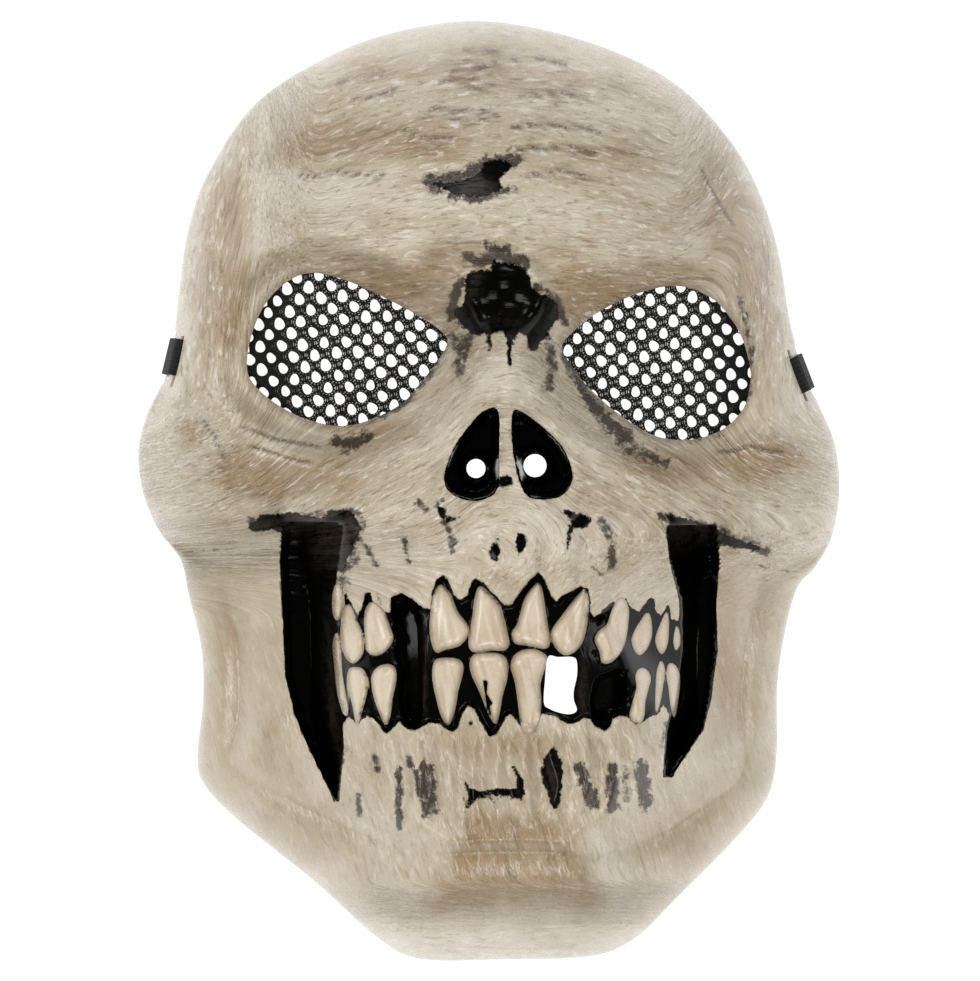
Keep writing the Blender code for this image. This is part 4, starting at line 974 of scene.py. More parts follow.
def base_heights(u, v):
    """The face's main forms on the raster, before its cavities and teeth."""
    middle_u, middle_v = CRANIUM_CENTRE
    cranium_span = np.where(v > middle_v, CRANIUM_UP, CRANIUM_DOWN)
    cranium = 1.0 - ((u - middle_u) / CRANIUM_HALF_WIDTH) ** 2 - ((v - middle_v) / cranium_span) ** 2
    cranium = CRANIUM_HEIGHT * np.sign(cranium) * np.sqrt(np.abs(cranium))

    crest, centre, half, shoulder, power = (column(MUZZLE, k, v) for k in range(1, 6))
    across = np.abs(u - centre) / half
    dome = np.clip(1.0 - across**power, 0.0, 1.0) ** (1.0 / power)
    fall = MUZZLE_FALL * half * np.clip(across - 1.0, 0.0, None)
    muzzle = blurred(shoulder + (crest - shoulder) * dome - fall, MUZZLE_BLUR)

    plate = PLATE_FOOT + PLATE_SLOPE * (PLATE_HALF_WIDTH - np.abs(u - PLATE_MIDDLE))
    plate = np.minimum(plate - PLATE_DROP * smooth_step(*PLATE_TOP, v), PLATE_MOST)

    height = smooth_max(smooth_max(cranium, muzzle, MUZZLE_BLEND), plate, PLATE_BLEND)
    for _, mass_u, mass_v, radius_u, radius_v, top in MASSES:
        share = 1.0 - ((u - mass_u) / radius_u) ** 2 - ((v - mass_v) / radius_v) ** 2
        height = smooth_max(height, top * np.sign(share) * np.sqrt(np.abs(share)), MASS_BLEND)
    for _, half_width, lift, points in RIDGES:
        height += lift * np.exp(-((line_distance(points, u, v, False) / half_width) ** 2))
    for _, mid_u, mid_v, radius_u, radius_v, lift in SWELLS:
        far = ((u - mid_u) / radius_u) ** 2 + ((v - mid_v) / radius_v) ** 2
        height += lift * np.exp(-far)
    height = blurred(height, FACE_BLUR)

    for side in SOCKETS:
        outline = closed_curve(SOCKETS[side][0], 4)
        outside = -inside_distance(outline, u, v, SOCKET_REACH)
        share = smooth_step(SOCKET_LIP, SOCKET_LIP + SOCKET_BEVEL, outside)
        socket = socket_height(side, u, v)
        height = socket + (height - socket) * share
    return blurred(height, SOCKET_BLUR)


def socket_height(side, u, v):
    """The plane in which an eye opening lies, with the net behind it."""
    _, middle_u, middle_v, height, slope_u, slope_v = SOCKETS[side]
    return height + slope_u * (u - middle_u) + slope_v * (v - middle_v)


def cubic_weights(share):
    """The four weights of a smooth curve through a raster's points."""
    return (
        share * (-0.5 + share * (1.0 - 0.5 * share)),
        1.0 + share**2 * (-2.5 + 1.5 * share),
        share * (0.5 + share * (2.0 - 1.5 * share)),
        share**2 * (-0.5 + 0.5 * share),
    )


def sampled(field, u, v):
    """A raster field read smoothly between its points."""
    i = np.clip((v - RASTER_V[0]) / RASTER_STEP, 1, len(RASTER_V) - 2.001)
    j = np.clip((u - RASTER_U[0]) / RASTER_STEP, 1, len(RASTER_U) - 2.001)
    i0, j0 = i.astype(int), j.astype(int)
    down, along = cubic_weights(i - i0), cubic_weights(j - j0)
    total = np.zeros(u.shape)
    for m in range(4):
        row = sum(along[n] * field[i0 + m - 1, j0 + n - 1] for n in range(4))
        total += down[m] * row
    return total


def recess_distance(rows, u, v):
    """How far (u, v) is inside a side recess, and its floor's height there."""
    jaw, fold, arch = (column(rows, k, v) for k in (1, 2, 3))
    side = np.sign(arch - jaw)
    inside = np.minimum((u - jaw) * side, (arch - u) * side)
    over, under = rows[0][0] + RECESS_OVER - v, v - rows[-1][0] + RECESS_UNDER
    inside = np.minimum(inside, np.minimum(over, under))
    past_fold = (u - fold) * side
    rise = np.clip(past_fold / np.maximum((arch - fold) * side, RECESS_LEAST), 0.0, 1.0)
    bead = FOLD_BEAD * np.exp(-((past_fold / FOLD_BEAD_WIDTH) ** 2))
    return inside, RECESS_FLOOR + RECESS_RISE * rise + bead


def teeth_distance(u, v):
    """How far (u, v) is inside the nearest tooth, negative outside."""
    best = np.full(u.shape, -TOOTH_REACH)
    for outline in TEETH.values():
        curve = closed_curve(from_picture(outline), 3)
        best = np.maximum(best, inside_distance(curve, u, v, TOOTH_REACH))
    return best


def value_noise(a, b, seed):
    """Smooth seeded noise from -1 to 1 over two coordinates, a unit to a cell."""
    table = np.random.default_rng(seed).uniform(-1.0, 1.0, (NOISE_CELLS, NOISE_CELLS))
    i, j = np.floor(a).astype(int), np.floor(b).astype(int)
    fa, fb = a - i, b - j
    fa, fb = fa * fa * (3 - 2 * fa), fb * fb * (3 - 2 * fb)
    corner = [[table[(i + k) % NOISE_CELLS, (j + m) % NOISE_CELLS] for m in (0, 1)] for k in (0, 1)]
    low = corner[0][0] * (1 - fb) + corner[0][1] * fb
    high = corner[1][0] * (1 - fb) + corner[1][1] * fb
    return low * (1 - fa) + high * fa


def noise_layer(name, a, b):
    """A named layer of noise in millimetres, over two coordinates in millimetres."""
    height, length_a, length_b, seed = NOISE[name]
    return height * value_noise(a / length_a, b / length_b, seed)


def root_waves(u, v):
    """The soft upright ridges that the roots raise on the bone, over and under the teeth."""
    across = smooth_step(0.0, ROOTS_FADE, ROOTS_HALF_WIDTH - np.abs(u - MOUTH_MIDDLE))
    sway = noise_layer("root_sway", u, v)
    upper = np.cos((u - UPPER_ROOT_START + sway) * 2 * math.pi / UPPER_ROOT_PITCH)
    leant = u - LOWER_ROOT_START + LOWER_ROOT_LEAN * (v - LOWER_ROOT_LEVEL)
    lower = np.cos((leant + sway) * 2 * math.pi / LOWER_ROOT_PITCH)
    upper *= UPPER_ROOT_HEIGHT * band(v, *UPPER_ROOTS)
    lower *= LOWER_ROOT_HEIGHT * band(v, *LOWER_ROOTS)
    return across * (upper + lower)


def bone_relief(u, v):
    """The uneven skin of the bone: long shallow waves along the grain, and knobs on the maxilla."""
    across, along = grain_coordinates(u, v)
    knobby = band(v, *KNOBS)
    knobby *= smooth_step(0.0, KNOBS_FADE, KNOBS_HALF_WIDTH - np.abs(u - MOUTH_MIDDLE))
    waves = noise_layer("long_wave", across, along) + noise_layer("short_wave", across, along)
    return waves + knobby * noise_layer("knob", u, v) + noise_layer("swell", u, v)


def wrinkle_share(u, v, width):
    """How much of a wrinkle lies at a point: 1 on its line and 0 beyond its width."""
    swayed = v + noise_layer("wrinkle_sway", u, v)
    total = np.zeros(u.shape)
    for points in WRINKLES:
        away = line_distance(from_picture(points), u, swayed, False)
        total = np.maximum(total, np.exp(-((away / width) ** 2)))
    return total


def face_heights(field, u, v):
    """The height of the whole face over front-view points."""
    height = sampled(field, u, v)
    for rows in (RECESS_RIGHT, RECESS_LEFT):
        inside, floor = recess_distance(rows, u, v)
        share = smooth_step(RECESS_LIP, RECESS_SIDE, inside)
        height += (np.minimum(floor, height) - height) * share
    for outline in (NOSE_RIGHT, NOSE_LEFT):
        inside = inside_distance(closed_curve(outline, 3), u, v)
        share = smooth_step(0.0, NOSE_SIDE, inside)
        height += (np.minimum(NOSE_FLOOR, height) - height) * share
    for hole_u, hole_v, _, ring in BREATHING_HOLES:
        away = np.hypot(u - hole_u, v - hole_v) - ring
        height += BREATHING_RING_HEIGHT * np.exp(-((away / BREATHING_RING_WIDTH) ** 2))
    dark = inside_distance(closed_curve(from_picture(MOUTH_DARK), 1), u, v)
    sunk = MOUTH_DEPTH * smooth_step(*MOUTH_EDGE, dark)
    for outline, depth in GAPS:
        inside = inside_distance(closed_curve(from_picture(outline), 2), u, v)
        sunk = np.maximum(sunk, depth * smooth_step(*GAP_EDGE, inside))
    tooth = teeth_distance(u, v)
    share = np.clip(tooth / TOOTH_ROUND, 0.0, 1.0)
    raised = TOOTH_LIFT * np.sqrt(1.0 - (1.0 - share) ** 2) + noise_layer("tooth_skin", u, v)
    sunk = np.where(tooth > 0.0, np.minimum(sunk, MOUTH_DEPTH) - raised, sunk)
    bare = 1.0 - smooth_step(*BARE_EDGE, np.maximum(dark, tooth))
    wrinkles = WRINKLE_DEPTH * wrinkle_share(u, v, WRINKLE_WIDTH)
    return height - sunk + bare * (root_waves(u, v) + bone_relief(u, v) - wrinkles)


def rim_at(angle):
    """(radius, wall run, wall height) round the star's centre."""
    curve = closed_curve(RIM, RIM_STEPS)
    du, dv = curve[:, 0] - STAR_CENTRE[0], curve[:, 1] - STAR_CENTRE[1]
    turn = np.arctan2(dv, du)
    order = np.argsort(turn)
    return [np.interp(angle, turn[order], values[order], period=2 * math.pi)
            for values in (np.hypot(du, dv), curve[:, 2], curve[:, 3])]


def wall_cap(depth, run, height):
    """How high the wall stands at a depth in from the rim: a quarter of an ellipse."""
    share = np.clip(1.0 - depth / run, 0.0, 1.0)
    return height * np.sqrt(1.0 - share**2) + WALL_RISE * np.clip(depth - run, 0.0, None)


def crowded(count, middle, width):
    """Steps from -1 to 1, crowded round a middle."""
    fine = np.linspace(-1.0, 1.0, FINE_STEPS)
    density = 1.0 + CROWDING * np.exp(-(((fine - middle) / width) ** 2))
    total = np.cumsum(density)
    total = (total - total[0]) / (total[-1] - total[0])
    return np.interp(np.linspace(0.0, 1.0, count + 1), total, fine)


def disc_grid(cells):
    """Points (radius share, angle) and quads of a disc: a square core, then rings round it."""
    across, up = cells
    s, t = np.meshgrid(crowded(across, *CROWD_ACROSS), crowded(up, *CROWD_UP))
    a, b = s * np.sqrt(1 - t**2 / 2), t * np.sqrt(1 - s**2 / 2)
    core = np.stack([CORE_REACH * np.hypot(a, b).ravel(), np.arctan2(b, a).ravel()], 1)
    number = np.arange((across + 1) * (up + 1)).reshape(up + 1, across + 1)
    corners = number[:-1, :-1], number[:-1, 1:], number[1:, 1:], number[1:, :-1]
    quads = [np.stack([c.ravel() for c in corners], 1)]
    loop = np.array([*number[0, :-1], *number[:-1, -1], *number[-1, :0:-1], *number[:0:-1, 0]])
    points, count, size = [core], len(core), len(loop)
    within = loop
    for reach in RINGS:
        ring = core[loop].copy()
        ring[:, 0] = reach
        points.append(ring)
        outer = np.arange(count, count + size)
        quads.append(np.stack([within, outer, np.roll(outer, -1), np.roll(within, -1)], 1))
        within, count = outer, count + size
    return np.concatenate(points), np.concatenate(quads), within


def walled(field, u, v, run, height):
    """The outer surface's height, with the wall that runs round the rim."""
    depth = line_distance(closed_curve(RIM, RIM_STEPS)[:, :2], u, v, True)
    return smooth_min(face_heights(field, u, v), wall_cap(depth, run, height), WALL_BLEND)


def outer_sheet(field, cells):
    """The outer surface's points, triangles, rim loop, shares of the radius and wall sizes."""
    polar, quads, loop = disc_grid(cells)
    share, angle = polar.T
    radius, run, height = rim_at(angle)
    u = STAR_CENTRE[0] + share * radius * np.cos(angle)
    v = STAR_CENTRE[1] + share * radius * np.sin(angle)
    z = walled(field, u, v, run, height)
    z[loop] = 0.0
    a, b, c, d = quads.T
    level = (np.abs(z[a] - z[c]) < np.abs(z[b] - z[d]))[:, None]
    first = np.where(level, quads[:, [0, 1, 2]], quads[:, [1, 2, 3]])
    second = np.where(level, quads[:, [0, 2, 3]], quads[:, [3, 0, 1]])
    return np.stack([u, v, z], 1), np.concatenate([first, second]), loop, share, (run, height)


def inner_sheet(field):
    """The inner surface, on a coarser grid: below the face, and square to the wall at the rim."""
    points, faces, loop, share, wall = outer_sheet(field, INNER_CELLS)
    u, v, z = points.T
    low = z.copy()
    for turn in np.arange(INNER_PROBES) * 2 * math.pi / INNER_PROBES:
        du, dv = INNER_SPREAD * math.cos(turn), INNER_SPREAD * math.sin(turn)
        low = np.minimum(low, walled(field, u + du, v + dv, *wall))
    corners = points[faces]
    normal = np.cross(corners[:, 1] - corners[:, 0], corners[:, 2] - corners[:, 0])
    square = np.zeros_like(points)
    for k in range(3):
        np.add.at(square, faces[:, k], normal)
    square[loop, 2] = 0.0
    square *= WALL / np.maximum(np.linalg.norm(square, axis=1), 1e-9)[:, None]
    below = np.stack([u, v, low - WALL], 1)
    beside = smooth_step(*SQUARE_FROM, share)[:, None]
    inner = below * (1 - beside) + (points - square) * beside
    inner[loop, 2] = 0.0
    return inner, faces, loop


def mesh_object(name, points, faces):
    """A mesh object from points in metres and its faces."""
    data = bpy.data.meshes.new(name)
    data.from_pydata([tuple(p) for p in points], [], [tuple(int(i) for i in f) for f in faces])
    data.validate()
    thing = bpy.data.objects.new(name, data)
    bpy.context.scene.collection.objects.link(thing)
    return thing


def prism(name, outline, low, high):
    """A closed prism along the sight lines over an outline, between two heights."""
    outline = np.array(outline, float)
    size = len(outline)
    rings = [np.stack(place(outline[:, 0], outline[:, 1], np.full(size, z)), 1) for z in (low, high)]
    turn = np.sum(outline[:, 0] * np.roll(outline[:, 1], -1) - np.roll(outline[:, 0], -1) * outline[:, 1])
    sides = [(k, (k + 1) % size, (k + 1) % size + size, k + size) for k in range(size)]
    faces = sides + [tuple(range(size))[::-1], tuple(range(size, 2 * size))]
    if turn < 0:
        faces = [face[::-1] for face in faces]
    return mesh_object(name, np.concatenate(rings), faces)


def box(name, low, high):
    """A closed box between two corners in millimetres."""
    mesh = bmesh.new()
    bmesh.ops.create_cube(mesh, size=1.0)
    for vert in mesh.verts:
        for k in range(3):
            vert.co[k] = METRE * (low[k] if vert.co[k] < 0 else high[k])
    data = bpy.data.meshes.new(name)
    mesh.to_mesh(data)
    mesh.free()
    thing = bpy.data.objects.new(name, data)
    bpy.context.scene.collection.objects.link(thing)
    return thing


def cut(thing, tools):
    """Cuts tools out of a thing, applies the result and removes the tools."""
    for tool in tools:
        modifier = thing.modifiers.new(tool.name, "BOOLEAN")
        modifier.operation = "DIFFERENCE"
        modifier.solver = "MANIFOLD"
        modifier.object = tool
    graph = bpy.context.evaluated_depsgraph_get()
    made = bpy.data.meshes.new_from_object(thing.evaluated_get(graph))
    made.materials.clear()
    thing.modifiers.clear()
    thing.data = made
    for tool in tools:
        bpy.data.objects.remove(tool)


def rim_x(side, v):
    """Where the rim's outline crosses a level, on one side."""
    curve = closed_curve(RIM, RIM_STEPS)[:, :2]
    half = curve[curve[:, 0] * side > 0]
    half = half[np.argsort(half[:, 1])]
    return float(np.interp(v, half[:, 1], half[:, 0]))


def circle(u, v, radius, sides):
    turn = np.arange(sides) * 2 * math.pi / sides
    return np.stack([u + radius * np.cos(turn), v + radius * np.sin(turn)], 1)


def opening_tools():
    """The cutters for the eyes, the breathing holes, the lost tooth and the strap's slots."""
    tools = [prism("eye_" + side, closed_curve(SOCKETS[side][0], 8), *EYE_SIGHT) for side in SOCKETS]
    for u, v, radius, _ in BREATHING_HOLES:
        tools.append(prism("breath", circle(u, v, radius, BREATHING_HOLE_SIDES), *BREATHING_SIGHT))
    tools.append(prism("mouth", closed_curve(from_picture(MOUTH_HOLE), 4), *MOUTH_SIGHT))
    for side, v in STRAPS.values():
        edge = rim_x(side, v)
        inner, outer = sorted((edge - side * NOTCH_INWARD, edge + side * NOTCH_OUTWARD))
        low, high = v - NOTCH_LENGTH / 2, v + NOTCH_LENGTH / 2
        tools.append(box("notch", (inner, low, NOTCH_BELOW), (outer, high, NOTCH_HEIGHT)))
        low, high = (v + SLOT_SHIFT + half for half in (-SLOT_LENGTH / 2, SLOT_LENGTH / 2))
        tools.append(box("slot", (inner, low, SLOT_LOW), (outer, high, SLOT_HIGH)))
    return tools


def grain_coordinates(u, v):
    """Coordinates across and along the streaks: level on the forehead, upright on the jaw."""
    out = np.abs(u - FACE_MIDDLE)
    level = v + FOREHEAD_BOW * (u - FACE_MIDDLE) ** 2 * smooth_step(*FOREHEAD_FROM, v)
    cheek = v + CHEEK_LEAN * out * smooth_step(*CHEEK_OUT, out) * smooth_step(*CHEEK_FROM, v)
    brow = smooth_step(*BROW_FROM, v)
    across, along = cheek * (1 - brow) + level * brow, u
    temple = smooth_step(*TEMPLE_OUT, np.abs(u - TEMPLE_MIDDLE)) * smooth_step(*TEMPLE_FROM, v)
    rounded = np.hypot(u - FACE_MIDDLE, TEMPLE_SHARE * (v - TEMPLE_LEVEL))
    upright = JAW_GRAIN[0] * u + JAW_GRAIN[1] * v
    jaw, chin = (1.0 - smooth_step(*span, v) for span in (JAW_FROM, CHIN_FROM))
    for share, new_across, new_along in ((temple, rounded, v), (jaw, upright, v), (chin, v, u)):
        across = across * (1 - share) + new_across * share
        along = along * (1 - share) + new_along * share
    return across, along


def grain_strength(u, v):
    """How strong the streaks are: full on the forehead and cheeks, faint on the jaw and chin."""
    low = 1.0 - smooth_step(*LOW_FACE, v)
    taper = MUZZLE_TAPER * np.maximum(0.0, MUZZLE_TAPER_FROM - v)
    muzzle = smooth_step(*MUZZLE_OUT, np.abs(u - MOUTH_MIDDLE) + taper)
    crown = smooth_step(*CROWN_FROM, v)
    return 1.0 - low * (LOW_CALM + MUZZLE_CALM * muzzle) - CROWN_CALM * crown


def black_distance(u, v):
    """How far (u, v) is inside the black paint, negative outside it."""
    black = inside_distance(closed_curve(from_picture(MOUTH_DARK), 1), u, v)
    black = CLEAN_EDGE / 2 * black
    for rows in (RECESS_RIGHT, RECESS_LEFT):
        black = np.maximum(black, CLEAN_EDGE * (recess_distance(rows, u, v)[0] + RECESS_PAINT))
    for outline in (NOSE_RIGHT, NOSE_LEFT):
        black = np.maximum(black, CLEAN_EDGE * inside_distance(closed_curve(outline, 3), u, v))
    for outline in BLACK_PAINT.values():
        curve = closed_curve(from_picture(outline), 2)
        black = np.maximum(black, inside_distance(curve, u, v, TOOTH_REACH))
    return black


def mottle(u, v, rows):
    """The sum of soft spots from a table of middles, radii and strengths in the picture."""
    total = np.zeros(u.shape)
    for x, y, radius_x, radius_y, strength in rows:
        (mid_u, mid_v), = from_picture([(x, y)])
        far = ((u - mid_u) / (radius_x * PICTURE_MM)) ** 2 + ((v - mid_v) / (radius_y * PICTURE_MM)) ** 2
        total += strength * np.exp(-(far**SPOT_POWER))
    return np.clip(total, 0.0, MOST_SPOTS)


# How strong the soot and painted shade are at each point
def soot_and_shade_strength(u, v):
    total = np.zeros(u.shape)
    for points, half_width, strength in SOOT_AND_SHADE:
        away = line_distance(from_picture(points), u, v, False)
        total = np.maximum(total, strength * np.exp(-((away / half_width) ** 2)))
    return total


def write_attribute(data, name, values):
    attribute = data.attributes.new(name, "FLOAT", "POINT")
    attribute.data.foreach_set("value", np.asarray(values, np.float32))


def write_vectors(data, name, columns):
    attribute = data.attributes.new(name, "FLOAT_VECTOR", "POINT")
    attribute.data.foreach_set("vector", np.stack(columns, 1).astype(np.float32).ravel())


def eye_distance(u, v):
    """How far (u, v) is from the edge of the nearest eye opening."""
    away = [line_distance(closed_curve(SOCKETS[side][0], 4), u, v, True) for side in SOCKETS]
    return np.minimum(*away)


def paint_shell(shell):
    """Writes what the paint's material reads, worked out at every point of the finished mesh."""
    data = shell.data
    co = np.empty(len(data.vertices) * 3)
    normal = np.empty(len(data.vertices) * 3)
    data.vertices.foreach_get("co", co)
    data.vertices.foreach_get("normal", normal)
    u, v, _ = front_points(co.reshape(-1, 3))
    across, along = grain_coordinates(u, v)
    write_vectors(data, "front", (u, v, np.zeros_like(u)))
    write_vectors(data, "grain", (across, along, np.zeros_like(u)))
    crack = inside_distance(closed_curve(from_picture(TOOTH_CRACK), 2), u, v, TOOTH_REACH)
    chin = inside_distance(closed_curve(from_picture(CHIN_TAN), 3), u, v)
    paints = {
        "black": black_distance(u, v),
        "tooth": np.minimum(teeth_distance(u, v), -CRACK_DEPTH * crack),
        # brown-grey wash, and painted light on the walls of the recesses
        "grey_wash_and_lit_wall": mottle(u, v, GREY_WASH_AND_LIT_WALLS),
        # soot stains and painted shade in sockets, creases and under the cheekbones
        "soot_and_shade": soot_and_shade_strength(u, v),
        # tan stains, with painted shade on the temples and brow slopes
        "tan": mottle(u, v, TAN_AND_SHADE) + CHIN_TAN_STRENGTH * smooth_step(*CHIN_TAN_EDGE, chin),
        # painted highlights, which lighten the bone
        "pale": mottle(u, v, PAINTED_HIGHLIGHTS),
        # distance to the eye openings, which sets the painted shade round them
        "eye": eye_distance(u, v),
        "busy": grain_strength(u, v),
        # painted shade in the wrinkle grooves
        "wrinkle": wrinkle_share(u, v, WRINKLE_SHADE_WIDTH),
        # painted highlight beside each wrinkle
        "wrinkle_highlight_edge": wrinkle_share(u, v + WRINKLE_HIGHLIGHT_RISE, WRINKLE_HIGHLIGHT_WIDTH),
        "inside": normal.reshape(-1, 3)[:, 2] < INSIDE_FACING,
    }
    for name, values in paints.items():
        write_attribute(data, name, values)


def rim_strip(outer_loop, inner_loop):
    """Triangles that join the outer rim to the inner one, two outer steps to each inner one."""
    a, b, c = outer_loop[0::2], outer_loop[1::2], np.roll(outer_loop, -2)[0::2]
    near, after = inner_loop, np.roll(inner_loop, -1)
    parts = [(b, a, near), (b, near, after), (c, b, after)]
    return np.concatenate([np.stack(part, 1) for part in parts])


def build_shell():
    """The detailed shell: one closed sheet with its openings cut through."""
    u, v = np.meshgrid(RASTER_U, RASTER_V)
    field = base_heights(u, v)
    outer, outer_faces, outer_loop, _, _ = outer_sheet(field, OUTER_CELLS)
    inner, inner_faces, inner_loop = inner_sheet(field)
    inner_faces = inner_faces[:, ::-1] + len(outer)
    rim = rim_strip(outer_loop, inner_loop + len(outer))
    points = np.concatenate([np.stack(place(*outer.T), 1), np.stack(place(*inner.T), 1)])
    shell = mesh_object("shell", points, np.concatenate([outer_faces, inner_faces, rim]))
    cut(shell, opening_tools())
    paint_shell(shell)
    shell.data.shade_smooth()
    shell.data.set_sharp_from_angle(angle=math.radians(SHELL_SHARP_ANGLE))
    return shell


def wall_depths(tree, side, v, z):
    """How far in from the rim's outline the wall's outer and inner faces lie at a height."""
    slant = rim_slant(side, v)
    inward = Vector((-side * math.cos(slant), side * math.sin(slant), 0.0))
    rim = Vector((rim_x(side, v), v, z)) * METRE
    outer = tree.ray_cast(rim - inward * PROBE_START, inward)[0]
    inner = tree.ray_cast(outer + inward * PROBE_STEP, inward)[0]
    return (outer - rim).dot(inward) / METRE, (inner - rim).dot(inward) / METRE


def rim_slant(side, v):
    """How far the rim turns from the Y axis at a level, on one side."""
    ahead, behind = rim_x(side, v + SLANT_SPAN / 2), rim_x(side, v - SLANT_SPAN / 2)
    return math.atan2(ahead - behind, SLANT_SPAN)


def strap_end(tree, side, v):
    """The strap's end: under its own run, down inside, round the rim, up outside and in."""
    clear = 2 * GAP + STRAP_THICK / 2
    slant = rim_slant(side, v)
    foot, midway, slot = STRAP_FOOT, STRAP_MIDWAY, (SLOT_LOW + SLOT_HIGH) / 2
    head_in, head_out = STRAP_HEAD_INSIDE, STRAP_HEAD_OUTSIDE
    outside = {z: wall_depths(tree, side, v, z)[0] - clear for z in (foot, midway, head_out)}
    inside = {z: wall_depths(tree, side, v, z)[1] + clear for z in (foot, midway, head_in)}
    sewn = slot - STRAP_THICK - GAP
    levels = [
        # depth, z
        (inside[head_in] + SEWN_LENGTH, sewn - 0.5),
        (inside[head_in] + 2.2, sewn - 0.7),
        (inside[head_in] + 0.5, head_in),
        (inside[midway], midway),
        (inside[foot], foot),
        (inside[foot] - STRAP_TURN, STRAP_UNDER),
        (outside[foot] + STRAP_TURN, STRAP_UNDER),
        (outside[foot], foot),
        (outside[midway], midway),
        (outside[head_out], head_out),
        (outside[head_out] + STRAP_TURN, slot),
        (inside[head_in] + 3.0, slot),
    ]
    edge, across, up = rim_x(side, v), -side * math.cos(slant), side * math.sin(slant)
    return [(edge + across * depth, v + up * depth, z, 0.0, slant) for depth, z in levels]


def squared(axis, along):
    """A direction made square to another, of unit length."""
    return (axis - along * axis.dot(along)).normalized()


def build_strap():
    """The woven strap along its route, with its middle line for the cord's length."""
    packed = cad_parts["mask_shell"].data
    tree = BVHTree.FromPolygons([v.co for v in packed.vertices], [p.vertices for p in packed.polygons])
    right, left = (strap_end(tree, sign, v) for sign, v in STRAPS.values())
    rows = np.array(right + [(*row, 0.0) for row in STRAP_ROUTE] + left[::-1])
    padded = np.vstack([2 * rows[0] - rows[1], rows, 2 * rows[-1] - rows[-2]])
    path = []
    for i in range(1, len(padded) - 2):
        path += span_points(*padded[i - 1 : i + 3], STRAP_STEPS)
    path = np.array(path + [rows[-1]])
    points, along_strap = [], []
    length = 0.0
    corners = [(-1, -1), (0, -1), (1, -1), (1, 1), (0, 1), (-1, 1)]
    for k, (*middle, turn, slant) in enumerate(path):
        ahead, behind = path[min(k + 1, len(path) - 1), :3], path[max(k - 1, 0), :3]
        along = Vector(ahead - behind).normalized()
        turn = min(max(turn, 0.0), 1.0) * math.pi / 2
        flat = squared(Vector((math.sin(slant), math.cos(slant), 0.0)), along) * math.cos(turn)
        upright = squared(Vector((0.0, 0.0, 1.0)), along) * math.sin(turn)
        across = squared(flat + upright, along)
        through = along.cross(across)
        length += float(np.linalg.norm(path[k, :3] - path[max(k - 1, 0), :3]))
        for s, t in corners:
            point = Vector(middle) + across * (s * STRAP_WIDTH / 2) + through * (t * STRAP_THICK / 2)
            points.append(point * METRE)
            along_strap.append((length, s * STRAP_WIDTH / 2, t))
    size = len(corners)
    faces = []
    for ring in range(len(path) - 1):
        for k in range(size):
            a, b = ring * size + k, ring * size + (k + 1) % size
            faces.append((a, b, b + size, a + size))
    last = (len(path) - 1) * size
    faces += [tuple(range(size))[::-1], tuple(range(last, last + size))]
    strap = mesh_object("strap", points, faces)
    write_vectors(strap.data, "weave", np.array(along_strap).T)
    strap.data.shade_smooth()
    strap.data.set_sharp_from_angle(angle=math.radians(STRAP_SHARP_ANGLE))
    return strap, [tuple(METRE * c for c in row[:3]) for row in path], length * METRE


def hash_number(i, j, salt):
    """A steady pseudo-random number between 0 and 1 for a cell."""
    value = math.sin(i * 12.9898 + j * 78.233 + salt * 37.719) * 43758.5453
    return value - math.floor(value)


def net_cell(centre, corners, i, j):
    """A cell's points: its six corners, then its hole, drawn out to one side as knitting is."""
    shift = [NET_WANDER * (hash_number(i, j, salt) - 0.5) for salt in (1, 2)]
    radius = NET_HOLE_RADIUS * (1 + NET_HOLE_SPREAD * 2 * (hash_number(i, j, 3) - 0.5))
    oval = NET_OVAL + NET_OVAL_SPREAD * hash_number(i, j, 4)
    lean = NET_LEAN + NET_LEAN_SPREAD * (hash_number(i, j, 5) - 0.5)
    points = [tuple(centre + corner) for corner in corners]
    start = math.atan2(corners[0][1], corners[0][0])
    for k in range(NET_SIDES):
        turn = start + 2 * math.pi * k / NET_SIDES
        egg = NET_EGG * math.cos(3 * (turn - lean))
        wide = radius * (1 + oval * math.cos(2 * (turn - lean)) + egg)
        points.append((centre[0] + shift[0] + wide * math.cos(turn),
                       centre[1] + shift[1] + wide * math.sin(turn)))
    return points


